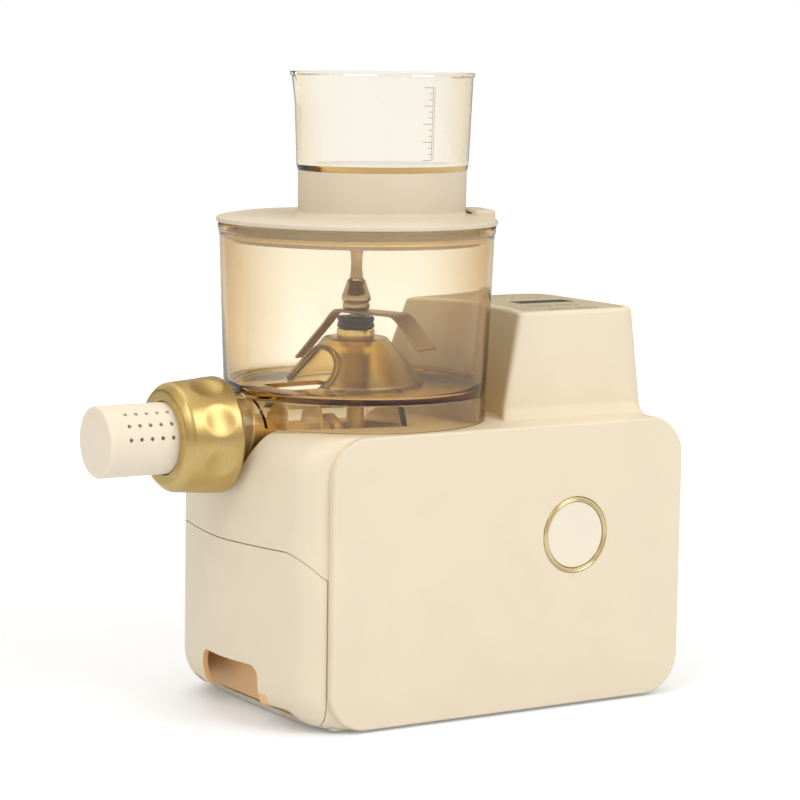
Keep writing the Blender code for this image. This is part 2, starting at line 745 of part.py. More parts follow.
def side_plate_rings(outer, inner):
    """List a side plate's sections from its outer face, with a rounded edge, to its inner face."""
    way = 1 if inner > outer else -1
    rings = []
    for angle in (0, 45, 90):
        inset = PLATE_EDGE * (1 - math.sin(math.radians(angle)))
        depth = PLATE_EDGE * (1 - math.cos(math.radians(angle)))
        rings.append([(x, outer + way * depth, z) for x, z in side_plate_outline(inset)])
    rings.append([(x, inner, z) for x, z in side_plate_outline(0)])
    return rings


def drawer_block(seam, back):
    """Make the block, round at its upper corners, that parts the drawer's front from the housing."""
    half = CORE_HALF + GAP
    top = DRAWER_TOP - seam
    radius = DRAWER_CORNER
    low = BODY_BOTTOM - OVERRUN
    outline = arc((half - radius, top - radius), radius, 0, 90, CORNER_STEPS)
    outline += arc((-half + radius, top - radius), radius, 90, 180, CORNER_STEPS)
    outline += [(-half, low), (half, low)]
    front = PLATE_LEFT - END_BULGE - OVERRUN
    rings = [[(front, y, z) for y, z in outline], [(back, y, z) for y, z in outline]]
    return loft("drawer_block_cutter", rings)


def boss_places():
    """List where the base plate's screws stand."""
    return [(x, y) for x in (BOSS_FRONT_X, BOSS_REAR_X) for y in (-BOSS_Y, BOSS_Y)]


def peg_places():
    """List where the pegs that hold the control board stand."""
    reach_x = BOARD_LENGTH / 2 - PEG_INSET
    reach_y = BOARD_WIDTH / 2 - PEG_INSET
    return [(DISPLAY_X + way_x * reach_x, way_y * reach_y) for way_x in (-1, 1) for way_y in (-1, 1)]


def build_housing():
    """Build the core and tower as one shell, open below, with the trough and the drawer's bay."""
    housing = loft("housing", core_rings(0), "cream")
    join(housing, loft("tower_form", tower_rings(0)))
    cavity = loft("cavity_cutter", core_rings(HOUSING_WALL))
    liner = cylinder("liner_form", (PLATE_LEFT - END_BULGE - OVERRUN, 0, AXIS_Z),
                     (TUBE_REAR + TROUGH_CLEARANCE + HOUSING_WALL, 0, AXIS_Z), LINER_RADIUS)
    cut(cavity, liner)
    tower_cavity = loft("tower_cavity_cutter", tower_rings(HOUSING_WALL))
    roof = TOWER_TOP - HOUSING_WALL
    for number, (x, y) in enumerate(peg_places()):
        peg = cylinder(f"peg_form_{number}", (x, y, roof - BOARD_DROP + GAP), (x, y, roof + OVERRUN),
                       PEG_RADIUS, steps=SMALL_STEPS // 2)
        cut(tower_cavity, peg)
    for number, (x, y) in enumerate(boss_places()):
        boss = cylinder(f"boss_form_{number}", (x, y, BODY_BOTTOM), (x, y, BASE_TOP + BOSS_HEIGHT),
                        BOSS_RADIUS, steps=SMALL_STEPS)
        cut(cavity, boss)
    opening = box("bottom_cutter", (BASE_LEFT - GAP, -CAVITY_HALF, BODY_BOTTOM - OVERRUN),
                  (BASE_RIGHT + GAP, CAVITY_HALF, BASE_TOP + GAP))
    trough = cylinder("trough_cutter", (PLATE_LEFT - END_BULGE - OVERRUN, 0, AXIS_Z),
                      (TUBE_REAR + TROUGH_CLEARANCE, 0, AXIS_Z), TROUGH_RADIUS)
    pocket = cylinder("coupling_hole_cutter", (0, 0, COUPLING_BOTTOM), (0, 0, AXIS_Z),
                      COUPLING_RADIUS + TROUGH_CLEARANCE, steps=SMALL_STEPS)
    cut(housing, cavity, tower_cavity, opening, trough, pocket)
    cut(housing, drawer_block(0, PLATE_LEFT))
    cut(housing, panel_cutter(), button_hole_cutter(), inlet_cutter())
    for number, (x, y) in enumerate(boss_places()):
        hole = cylinder(f"boss_hole_cutter_{number}", (x, y, BODY_BOTTOM),
                        (x, y, BASE_TOP + SCREW_LENGTH + GAP), SCREW_RADIUS + GAP,
                        steps=SMALL_STEPS // 2)
        cut(housing, hole)
    return smooth(housing, 40.0)


def panel_outline(inset):
    """List the control panel's outline, which follows the tower's top."""
    return tower_outline(1.0, 0.0, TOWER_TOP_EDGE + PANEL_MARGIN + inset)


def panel_cutter():
    """Make the shallow recess that takes the control panel."""
    rings = []
    for height in (TOWER_TOP - PANEL_DEPTH - GAP, TOWER_TOP + OVERRUN):
        rings.append([(x, y, height) for x, y in panel_outline(0)])
    return loft("panel_recess_cutter", rings)


def button_hole_cutter():
    """Make the hole in the core's front wall that the button's stem goes through."""
    return cylinder("stem_hole_cutter", (BUTTON_X, -CORE_HALF - OVERRUN, BUTTON_Z),
                    (BUTTON_X, -CAVITY_HALF + OVERRUN, BUTTON_Z), BUTTON_STEM_RADIUS + BUTTON_TRAVEL,
                    steps=SMALL_STEPS)


def inlet_cutter():
    """Make the hole in the rear end for the power inlet."""
    half_y, half_z = INLET_WIDTH / 2 + GAP, INLET_HEIGHT / 2 + GAP
    return box("inlet_cutter", (PLATE_RIGHT - OVERRUN, -half_y, INLET_Z - half_z),
               (PLATE_RIGHT + REAR_BULGE + OVERRUN, half_y, INLET_Z + half_z))


def build_side_plates():
    """Build the flat plates that cover the front and the back."""
    front = loft("front_plate", side_plate_rings(-PLATE_FACE, -CORE_HALF - GAP), "cream")
    hole = cylinder("button_bore_cutter", (BUTTON_X, -PLATE_FACE - OVERRUN, BUTTON_Z),
                    (BUTTON_X, -CORE_HALF + OVERRUN, BUTTON_Z), BUTTON_RING_RADIUS + GAP)
    cut(front, hole)
    back = loft("back_plate", side_plate_rings(PLATE_FACE, CORE_HALF + GAP), "cream")
    smooth(front)
    smooth(back)


def build_base():
    """Build the base plate with its vents, the feet and the screws."""
    low, high = BODY_BOTTOM, BASE_TOP
    half = CAVITY_HALF - GAP
    outer = rounded_rectangle(BASE_LEFT, BASE_RIGHT, -half, half, BASE_THICKNESS)
    loops = [outer]
    first = -(VENT_COUNT - 1) / 2
    for number in range(VENT_COUNT):
        middle = (first + number) * VENT_PITCH
        loops.append(rounded_rectangle(MOTOR_X - VENT_LENGTH / 2, MOTOR_X + VENT_LENGTH / 2,
                                       middle - VENT_WIDTH / 2, middle + VENT_WIDTH / 2,
                                       VENT_WIDTH / 2 - GAP, 2))
    base = outline_solid("base_plate", loops, low, high, "cream")
    for number, (x, y) in enumerate(boss_places()):
        cut(base, cylinder(f"screw_hole_cutter_{number}", (x, y, low - OVERRUN), (x, y, high + OVERRUN),
                           SCREW_RADIUS + GAP, steps=SMALL_STEPS // 2),
            cylinder(f"screw_head_cutter_{number}", (x, y, low - OVERRUN),
                     (x, y, low + SCREW_HEAD_HEIGHT + GAP), SCREW_HEAD_RADIUS + GAP, steps=SMALL_STEPS))
        turned(f"base_screw_{number + 1}",
               [(0, high + SCREW_LENGTH), (SCREW_RADIUS, high + SCREW_LENGTH),
                (SCREW_RADIUS, low + SCREW_HEAD_HEIGHT), (SCREW_HEAD_RADIUS, low + SCREW_HEAD_HEIGHT),
                (SCREW_HEAD_RADIUS, low), (0, low)], "steel", SMALL_STEPS // 2, place=(x, y, 0))
    feet = [(x, y) for x in (FOOT_FRONT_X, FOOT_REAR_X) for y in (-FOOT_Y, FOOT_Y)]
    for number, (x, y) in enumerate(feet):
        shape = rounded_rectangle(x - FOOT_LENGTH / 2, x + FOOT_LENGTH / 2, y - FOOT_WIDTH / 2,
                                  y + FOOT_WIDTH / 2, FOOT_WIDTH / 2 - GAP, 4)
        outline_solid(f"foot_{number + 1}", [shape], 0, FOOT_HEIGHT - GAP, "rubber")


def key_outline(x, y, inset):
    """List a touch key's outline, drawn in by an inset."""
    half_x, half_y = KEY_LENGTH / 2 - inset, KEY_WIDTH / 2 - inset
    return rounded_rectangle(x - half_x, x + half_x, y - half_y, y + half_y, half_y - GAP, CORNER_STEPS + 1)


def build_control_panel():
    """Build the panel, the display's window, the touch keys and the board below them."""
    top = TOWER_TOP
    panel = outline_solid("control_panel", [panel_outline(GAP)], top - PANEL_DEPTH, top, "panel")
    low_x, high_x = DISPLAY_X - DISPLAY_LENGTH / 2, DISPLAY_X + DISPLAY_LENGTH / 2
    low_y, high_y = DISPLAY_Y - DISPLAY_WIDTH / 2, DISPLAY_Y + DISPLAY_WIDTH / 2
    cut(panel, box("display_cutter", (low_x, low_y, top - DISPLAY_DEPTH - GAP),
                   (high_x, high_y, top + OVERRUN)))
    box("display_window", (low_x + GAP, low_y + GAP, top - DISPLAY_DEPTH),
        (high_x - GAP, high_y - GAP, top), "black")
    places = [(KEY_FIRST_X + column * KEY_COLUMN_STEP, KEY_FIRST_Y - row * KEY_ROW_STEP)
              for row in range(2) for column in range(2)]
    for number, (x, y) in enumerate(places):
        cut(panel, outline_solid(f"key_cutter_{number}", [key_outline(x, y, 0)],
                                 top - KEY_DEPTH - GAP, top + OVERRUN))
        outline_solid(f"touch_key_{number + 1}", [key_outline(x, y, GAP)], top - KEY_DEPTH, top, "panel")
    roof = TOWER_TOP - HOUSING_WALL - BOARD_DROP
    box("control_board", (DISPLAY_X - BOARD_LENGTH / 2, -BOARD_WIDTH / 2, roof - BOARD_THICKNESS),
        (DISPLAY_X + BOARD_LENGTH / 2, BOARD_WIDTH / 2, roof), "board")


def build_button():
    """Build the round push button: its ring, its cap and the switch behind."""
    face = -PLATE_FACE
    inner = BUTTON_RING_RADIUS - BUTTON_RING_WIDTH
    place = (BUTTON_X, face, BUTTON_Z)
    edge = BUTTON_RING_WIDTH / 4
    turned("button_ring",
           [(inner, BUTTON_RING_DEPTH), (inner, -BUTTON_RING_PROUD / 2), (inner + edge, -BUTTON_RING_PROUD),
            (inner + 2 * edge, 0), (BUTTON_RING_RADIUS - edge, -BUTTON_RING_PROUD),
            (BUTTON_RING_RADIUS, -BUTTON_RING_PROUD / 2), (BUTTON_RING_RADIUS, BUTTON_RING_DEPTH)],
           "gold", axis="Y", place=place, closed=True)
    cap = inner - GAP
    stem_end = PLATE_FACE - CAVITY_HALF - GAP
    turned("button_cap",
           [(0, stem_end), (BUTTON_STEM_RADIUS, stem_end), (BUTTON_STEM_RADIUS, BUTTON_CAP_THICKNESS),
            (cap, BUTTON_CAP_THICKNESS), (cap, 0), (0, 0)],
           "cream", axis="Y", place=place)
    half = SWITCH_SIZE / 2
    start = -CAVITY_HALF + GAP
    switch = box("button_switch", (BUTTON_X - half, start, BUTTON_Z - half),
                 (BUTTON_X + half, start + SWITCH_DEPTH, BUTTON_Z + half), "black")
    cut(switch, cylinder("switch_well_cutter", (BUTTON_X, start - OVERRUN, BUTTON_Z),
                         (BUTTON_X, start + 2 * BUTTON_TRAVEL, BUTTON_Z),
                         BUTTON_STEM_RADIUS + BUTTON_TRAVEL, steps=SMALL_STEPS))


def gear_outline(x, tip_radius):
    """List the outline of a toothed wheel on the middle plane from its tip radius."""
    root = tip_radius - TOOTH_HEIGHT
    teeth = max(FEWEST_TEETH, round(2 * math.pi * root / TOOTH_PITCH))
    made = []
    for tooth in range(teeth):
        for radius, share in zip((root, tip_radius, tip_radius, root), TOOTH_TURN_SHARES):
            angle = 2 * math.pi * (tooth + share) / teeth
            made.append((x + radius * math.cos(angle), radius * math.sin(angle)))
    return made


def build_drive():
    """Build the motor, the gear train and the coupling that reaches up to the bowl."""
    motor = turned("motor_body",
                   [(0, MOTOR_TOP), (MOTOR_RADIUS - HOUSING_WALL, MOTOR_TOP),
                    (MOTOR_RADIUS, MOTOR_TOP - HOUSING_WALL), (MOTOR_RADIUS, MOTOR_BOTTOM),
                    (0, MOTOR_BOTTOM)], "steel", SMALL_STEPS, place=(MOTOR_X, 0, 0))
    for number in range(4):
        angle = math.pi / 4 + number * math.pi / 2
        reach = MOTOR_RADIUS - MOTOR_LEG_RADIUS
        x, y = MOTOR_X + reach * math.cos(angle), reach * math.sin(angle)
        join(motor, cylinder(f"motor_leg_form_{number}", (x, y, BASE_TOP + GAP),
                             (x, y, MOTOR_BOTTOM + OVERRUN), MOTOR_LEG_RADIUS, steps=SMALL_STEPS // 2))
    cut(motor, cylinder("motor_bore_cutter", (MOTOR_X, 0, BASE_TOP), (MOTOR_X, 0, MOTOR_TOP + OVERRUN),
                        MOTOR_SHAFT_RADIUS + GAP, steps=SMALL_STEPS // 2))
    fan_top = MOTOR_BOTTOM - GAP
    fan = outline_solid("motor_fan", [fan_outline()], fan_top - FAN_THICKNESS, fan_top, "black")
    cut(fan, cylinder("fan_bore_cutter", (MOTOR_X, 0, BASE_TOP), (MOTOR_X, 0, MOTOR_BOTTOM + OVERRUN),
                      MOTOR_SHAFT_RADIUS + GAP, steps=SMALL_STEPS // 2))
    cylinder("motor_shaft", (MOTOR_X, 0, fan_top - FAN_THICKNESS), (MOTOR_X, 0, WHEEL_TOP),
             MOTOR_SHAFT_RADIUS, "steel", SMALL_STEPS // 2)
    left = -COUPLING_RADIUS - GEAR_PLATE_MARGIN
    right = MOTOR_X + MOTOR_BOSS_RADIUS + GEAR_PLATE_MARGIN
    plate_shape = rounded_rectangle(left, right, -GEAR_PLATE_HALF_WIDTH, GEAR_PLATE_HALF_WIDTH,
                                    GEAR_PLATE_MARGIN)
    plate = outline_solid("gear_plate", [plate_shape], GEAR_PLATE_BOTTOM, GEAR_PLATE_TOP, "steel")
    cut(plate, cylinder("plate_bore_cutter", (MOTOR_X, 0, GEAR_PLATE_BOTTOM - OVERRUN),
                        (MOTOR_X, 0, GEAR_PLATE_TOP + OVERRUN), MOTOR_SHAFT_RADIUS + GAP,
                        steps=SMALL_STEPS // 2))
    for number, x in enumerate((0, GEAR_X)):
        join(plate, cylinder(f"gear_pin_form_{number}", (x, 0, GEAR_PLATE_TOP - BASE_THICKNESS / 2),
                             (x, 0, WHEEL_TOP if x else OUTPUT_TOP), MOTOR_SHAFT_RADIUS,
                             steps=SMALL_STEPS // 2))
    output = outline_solid("output_gear", [gear_outline(0, OUTPUT_RADIUS)], OUTPUT_BOTTOM, OUTPUT_TOP,
                           "steel")
    cut(output, pin_bore("output_bore_cutter", 0))
    wheel = outline_solid("reduction_gear", [gear_outline(GEAR_X, REDUCTION_RADIUS)], WHEEL_BOTTOM,
                          WHEEL_TOP, "steel")
    small = outline_solid("reduction_pinion_form", [gear_outline(GEAR_X, REDUCTION_PINION_RADIUS)],
                          OUTPUT_BOTTOM, WHEEL_BOTTOM + GEAR_WIDTH / 2)
    join(wheel, small)
    cut(wheel, pin_bore("reduction_bore_cutter", GEAR_X))
    pinion = outline_solid("motor_pinion", [gear_outline(MOTOR_X, PINION_RADIUS)], WHEEL_BOTTOM,
                           WHEEL_TOP, "steel")
    cut(pinion, pin_bore("pinion_bore_cutter", MOTOR_X))
    coupling = cylinder("drive_coupling", (0, 0, COUPLING_BOTTOM), (0, 0, COUPLING_TOP),
                        COUPLING_RADIUS, "black", SMALL_STEPS)
    cut(coupling, cylinder("dog_socket_cutter", (0, 0, COUPLING_TOP - DOG_DEPTH),
                           (0, 0, COUPLING_TOP + OVERRUN), DOG_RADIUS + GAP, steps=6))


def fan_outline():
    """List the outline of the motor's cooling fan."""
    hub = FAN_RADIUS / 3
    made = []
    for blade in range(FAN_BLADES):
        for radius, share in zip((hub, FAN_RADIUS, FAN_RADIUS, hub), FAN_TURN_SHARES):
            angle = 2 * math.pi * (blade + share) / FAN_BLADES
            made.append((MOTOR_X + radius * math.cos(angle), radius * math.sin(angle)))
    return made


def pin_bore(name, x):
    """Make the bore that a gear has for its pin or shaft."""
    return cylinder(name, (x, 0, GEAR_PLATE_BOTTOM), (x, 0, WHEEL_TOP + OVERRUN),
                    MOTOR_SHAFT_RADIUS + GAP, steps=SMALL_STEPS // 2)


def build_power():
    """Build the power inlet at the rear end and the power board on the base plate."""
    rear = PLATE_RIGHT + REAR_BULGE
    half_y, half_z = INLET_WIDTH / 2, INLET_HEIGHT / 2
    front = rear - INLET_DEPTH
    inlet = box("power_inlet", (front, -half_y, INLET_Z - half_z), (rear, half_y, INLET_Z + half_z),
                "black")
    wall = INLET_FLANGE
    cut(inlet, box("inlet_socket_cutter", (front + wall, -half_y + wall, INLET_Z - half_z + wall),
                   (rear + OVERRUN, half_y - wall, INLET_Z + half_z - wall)))
    for number, y in enumerate((-half_y / 3, half_y / 3)):
        join(inlet, cylinder(f"inlet_pin_form_{number}", (front + wall / 2, y, INLET_Z),
                             (rear - wall, y, INLET_Z), wall / 2, steps=SMALL_STEPS // 2))
    low = BASE_TOP + GAP
    box("power_board", (POWER_BOARD_LEFT, -POWER_BOARD_WIDTH / 2, low),
        (POWER_BOARD_RIGHT, POWER_BOARD_WIDTH / 2, low + BOARD_THICKNESS), "board")


def bowl_profile():
    """List the bowl's section: rim, wall and skirt down the outer side, then floor, hub and inner wall."""
    skirt_inner = BOWL_SKIRT_RADIUS - BOWL_WALL
    floor_under = BOWL_FLOOR_Z - BOWL_FLOOR
    outer = [(BOWL_RIM_RADIUS - BOWL_WALL / 3, BOWL_RIM_Z), (BOWL_RIM_RADIUS, BOWL_RIM_Z - BOWL_WALL / 3),
             (BOWL_RIM_RADIUS, BOWL_RIM_Z - RIM_BAND), (BOWL_TOP_RADIUS, BOWL_RIM_Z - RIM_BAND - RIM_FLARE),
             (BOWL_FLOOR_RADIUS, BOWL_FLOOR_Z + BOWL_FLOOR), (BOWL_SKIRT_RADIUS - GAP, floor_under),
             (BOWL_SKIRT_RADIUS, BOWL_BOTTOM)]
    under = [(skirt_inner, BOWL_BOTTOM), (skirt_inner - GAP, floor_under), (SHAFT_BORE, floor_under)]
    inner = [(SHAFT_BORE, BOWL_FLOOR_Z + HUB_HEIGHT), (HUB_RADIUS, BOWL_FLOOR_Z + HUB_HEIGHT),
             (HUB_RADIUS, BOWL_FLOOR_Z), (BOWL_FLOOR_RADIUS - 2 * BOWL_WALL, BOWL_FLOOR_Z),
             (BOWL_FLOOR_RADIUS - BOWL_WALL, BOWL_FLOOR_Z + BOWL_WALL),
             (BOWL_TOP_RADIUS - BOWL_WALL, BOWL_RIM_Z - RIM_BAND - RIM_FLARE),
             (BOWL_TOP_RADIUS - BOWL_WALL + GAP, BOWL_RIM_Z)]
    return outer + under + inner


def barrel_profile():
    """List the section of the auger's tube and of the barrel's neck and thread ridges, down along X."""
    neck, crest = BARREL_NECK_RADIUS, BARREL_NECK_RADIUS + THREAD_RIDGE
    made = [(0, TUBE_REAR), (TUBE_RADIUS, TUBE_REAR), (TUBE_RADIUS, THREAD_START), (neck, THREAD_START)]
    for ridge in range(THREAD_COUNT):
        start = THREAD_START - ridge * THREAD_PITCH
        made += [(neck, start - THREAD_PITCH / 8), (crest, start - THREAD_PITCH / 4),
                 (crest, start - THREAD_PITCH / 2), (neck, start - 3 * THREAD_PITCH / 4)]
    rear = TUBE_REAR - TUBE_CAP
    return made + [(neck, BARREL_FRONT), (TUBE_BORE, BARREL_FRONT), (TUBE_BORE, rear), (0, rear)]


def build_bowl():
    """Build the clear bowl in one piece with its auger tube and its threaded barrel."""
    bowl = turned("bowl", bowl_profile(), "amber", closed=True)
    outside = BOWL_SKIRT_RADIUS + OVERRUN
    inside = BOWL_SKIRT_RADIUS - BOWL_WALL - OVERRUN
    cut(bowl, cylinder("skirt_hole_cutter", (-outside, 0, AXIS_Z), (-inside, 0, AXIS_Z),
                       TUBE_RADIUS - TUBE_WALL / 2))
    barrel = turned("barrel_form", barrel_profile(), axis="X", place=(0, 0, AXIS_Z))
    boss_low = AXIS_Z - TROUGH_RADIUS
    boss_high = AXIS_Z - TUBE_BORE - GAP
    cut(barrel, cylinder("shaft_way_cutter", (0, 0, boss_low), (0, 0, BOWL_FLOOR_Z + OVERRUN),
                         (SHAFT_BORE + HUB_RADIUS) / 2, steps=SMALL_STEPS + 3))
    boss = turned("shaft_boss_form",
                  [(SHAFT_BORE, boss_high), (HUB_RADIUS, boss_high), (HUB_RADIUS, boss_low),
                   (SHAFT_BORE, boss_low)], steps=SMALL_STEPS, closed=True)
    join(bowl, barrel, boss)
    cut(bowl, box("dough_slot_cutter", (INLET_SLOT_FAR, -INLET_SLOT_HALF_WIDTH, AXIS_Z),
                  (INLET_SLOT_NEAR, INLET_SLOT_HALF_WIDTH, BOWL_FLOOR_Z + OVERRUN)))
    return smooth(bowl, 30.0)


def build_cone():
    """Build the cone that covers the drive shaft, with its arched mouth toward the extruder."""
    low = BOWL_FLOOR_Z + GAP
    slope = (CONE_BASE_RADIUS - CONE_TOP_RADIUS) / CONE_HEIGHT
    inner_base = CONE_BASE_RADIUS - CONE_FOOT_WALL
    inner_top = inner_base - slope * (CONE_HEIGHT - CONE_WALL)
    hole = COLLAR_SLEEVE_RADIUS + GAP
    cone = turned("cone_cover",
                  [(hole, CONE_TOP), (CONE_TOP_RADIUS - CONE_WALL / 2, CONE_TOP),
                   (CONE_TOP_RADIUS, CONE_TOP - CONE_WALL / 2), (CONE_BASE_RADIUS, low + CONE_WALL / 2),
                   (CONE_BASE_RADIUS, low), (inner_base, low),
                   (max(inner_top, hole + GAP), CONE_TOP - CONE_WALL), (hole, CONE_TOP - CONE_WALL)],
                  "amber", closed=True)
    mouth = cylinder("arch_cutter", (-CONE_BASE_RADIUS - OVERRUN, 0, low),
                     (-CONE_TOP_RADIUS + CONE_WALL, 0, low), ARCH_RADIUS, steps=SMALL_STEPS * 2)
    cut(cone, mouth)
    return smooth(cone)


def build_spindle():
    """Build the drive spindle, its collar and seal, the blade and the chrome stirring spindle."""
    boss_low = AXIS_Z - TROUGH_RADIUS
    dog_low = COUPLING_TOP - DOG_DEPTH + GAP
    bevel_low = AXIS_Z - BEVEL_RADIUS - BEVEL_WIDTH
    drive = turned("drive_spindle",
                   [(0, COLLAR_TOP), (SHAFT_RADIUS, COLLAR_TOP), (SHAFT_RADIUS, bevel_low + BEVEL_WIDTH),
                    (BEVEL_SMALL_RADIUS, bevel_low + BEVEL_WIDTH), (BEVEL_RADIUS, bevel_low + GAP),
                    (BEVEL_RADIUS, bevel_low), (SHAFT_RADIUS, bevel_low), (SHAFT_RADIUS, dog_low), (0, dog_low)],
                   "steel", SMALL_STEPS)
    half = SQUARE_WIDTH / 2
    tip = COLLAR_TOP + SQUARE_LENGTH
    join(drive, box("square_form", (-half, -half, COLLAR_TOP - OVERRUN), (half, half, tip)),
         cylinder("dog_form", (0, 0, dog_low), (0, 0, boss_low - GAP), DOG_RADIUS, steps=6))
    sleeve_low = CONE_TOP - COLLAR_SLEEVE_LENGTH
    sleeve_bore = HUB_RADIUS if sleeve_low < BOWL_FLOOR_Z + HUB_HEIGHT else SHAFT_BORE
    turned("seal_collar",
           [(SHAFT_BORE, COLLAR_TOP), (COLLAR_RADIUS, COLLAR_TOP), (COLLAR_RADIUS, CONE_TOP + GAP),
            (COLLAR_SLEEVE_RADIUS, CONE_TOP + GAP), (COLLAR_SLEEVE_RADIUS, sleeve_low),
            (sleeve_bore, sleeve_low)], "gold", SMALL_STEPS, closed=True)
    stub = half * math.sqrt(2) + 2 * GAP
    turned("seal_ring",
           [(stub + 2 * GAP, SEAL_TOP), (COLLAR_RADIUS, SEAL_TOP), (COLLAR_RADIUS, SEAL_BOTTOM),
            (stub + 2 * GAP, SEAL_BOTTOM)], "black", SMALL_STEPS, closed=True)
    build_blade(stub)
    build_stirring_spindle(half, tip)


def build_blade(bore):
    """Build the stirring blade: a flat hub, a broad wing that reaches out and a narrow one by the cone."""
    middle = BLADE_BOTTOM + BLADE_THICKNESS / 2
    stations = [(-BLADE_FAR_TIP, middle - BLADE_FAR_DROP, BLADE_FAR_HALF_WIDTH),
                (-BLADE_FAR_BEND, middle, BLADE_FAR_HALF_WIDTH),
                (-bore - BLADE_THICKNESS, middle, BLADE_HALF_WIDTH),
                (BLADE_NEAR_BEND, middle, BLADE_HALF_WIDTH),
                (BLADE_NEAR_TIP, middle - BLADE_NEAR_DROP, BLADE_HALF_WIDTH)]
    turn = Matrix.Rotation(BLADE_TURN, 3, "Z")
    rings = []
    for index, (reach, height, width) in enumerate(stations):
        before, after = stations[max(index - 1, 0)], stations[min(index + 1, len(stations) - 1)]
        along = Vector((after[0] - before[0], 0, after[1] - before[1])).normalized()
        off = Vector((-along.z, 0, along.x)) * BLADE_THICKNESS / 2
        centre = Vector((reach, 0, height))
        corners = (centre + off + Vector((0, width, 0)), centre + off - Vector((0, width, 0)),
                   centre - off - Vector((0, width, 0)), centre - off + Vector((0, width, 0)))
        rings.append([turn @ corner for corner in corners])
    blade = loft("stirrer_blade", rings, "bronze")
    cut(blade, cylinder("blade_bore_cutter", (0, 0, BLADE_BOTTOM - OVERRUN), (0, 0, BLADE_TOP + OVERRUN),
                        bore + GAP, steps=SMALL_STEPS))


def build_stirring_spindle(half, tip):
    """Build the chrome spindle that stands on the drive spindle's square."""
    low, high, rise = SPINDLE_BOTTOM, SPINDLE_TOP, SPINDLE_HEIGHT
    outer = [(SPINDLE_BEAD_RADIUS * wide, low + rise * up) for up, wide in BEAD_SHARES]
    outer.append((SPINDLE_SHOULDER_RADIUS, low + rise * SHOULDER_SHARE))
    outer += [(SPINDLE_TOP_RADIUS * wide, low + rise * up) for up, wide in SHAFT_SHARES]
    outer += [(SPINDLE_TOP_RADIUS - GAP, high), (0, high)]
    spindle = turned("stirrer_spindle", outer[::-1] + [(0, low)], "steel", SMALL_STEPS)
    bore = half + GAP
    cut(spindle, box("square_bore_cutter", (-bore, -bore, low - OVERRUN), (bore, bore, max(tip, low) + GAP)))
    return smooth(spindle)


def build_auger():
    """Build the auger with its helical flight and the bevel gear at its rear end."""
    radius = TUBE_BORE - AUGER_CLEARANCE
    front = BARREL_FRONT + TUBE_WALL
    length = AUGER_REAR - front
    turns = (length - 2 * AUGER_FLIGHT) / AUGER_PITCH
    steps = int(turns * AUGER_STEPS)
    rings = []
    for step in range(steps + 1):
        share = step / steps
        angle = 2 * math.pi * turns * share
        x = AUGER_REAR - AUGER_FLIGHT - (length - 2 * AUGER_FLIGHT) * share
        core = AUGER_CORE_RADIUS / 2
        ring = []
        for reach, along in ((core, -AUGER_FLIGHT / 2), (radius, -AUGER_FLIGHT / 4),
                             (radius, AUGER_FLIGHT / 4), (core, AUGER_FLIGHT / 2)):
            ring.append((x + along, reach * math.cos(angle), AXIS_Z + reach * math.sin(angle)))
        rings.append(ring)
    auger = loft("auger", rings, "steel")
    join(auger, cylinder("auger_core_form", (AUGER_REAR, 0, AXIS_Z), (front, 0, AXIS_Z), AUGER_CORE_RADIUS,
                         steps=SMALL_STEPS, end_radius=AUGER_FRONT_RADIUS))
    bevel_back = AUGER_REAR + GAP
    bevel_front = -BEVEL_RADIUS - GAP
    turned("auger_bevel",
           [(0, bevel_front), (BEVEL_SMALL_RADIUS, bevel_front),
            (BEVEL_RADIUS, bevel_front - BEVEL_WIDTH), (BEVEL_RADIUS, bevel_back), (0, bevel_back)],
           "steel", SMALL_STEPS, axis="X", place=(0, 0, AXIS_Z))


def build_ring_nut():
    """Build the gold ring nut with its finger dents."""
    back, front = RING_BACK, RING_FRONT
    thread_bore = BARREL_NECK_RADIUS + THREAD_RIDGE + GAP
    mouth = DIE_RADIUS + GAP
    lip = front + RING_LIP
    profile = [(RING_RADIUS - RING_CHAMFER / 4, back), (RING_RADIUS, back - RING_CHAMFER / 4),
               (RING_FRONT_RADIUS, front + RING_CHAMFER), (RING_FACE_RADIUS, front), (mouth, front),
               (mouth, lip), (thread_bore, lip), (thread_bore, back)]
    ring = turned("ring_nut", profile, "gold", axis="X", place=(0, 0, AXIS_Z), closed=True)
    middle = (back + front) / 2
    for number in range(DENT_COUNT):
        angle = 2 * math.pi * (number + 0.5) / DENT_COUNT
        reach = RING_RADIUS + DENT_RADIUS - DENT_DEPTH
        centre = Vector((back, reach * math.cos(angle), AXIS_Z + reach * math.sin(angle)))
        inner = Vector((middle, centre.y, centre.z))
        cut(ring, cylinder(f"dent_cutter_{number}", centre + Vector((OVERRUN, 0, 0)), inner, DENT_RADIUS,
                           steps=SMALL_STEPS * 2, end_radius=DENT_RADIUS - DENT_DEPTH))
    return smooth(ring)


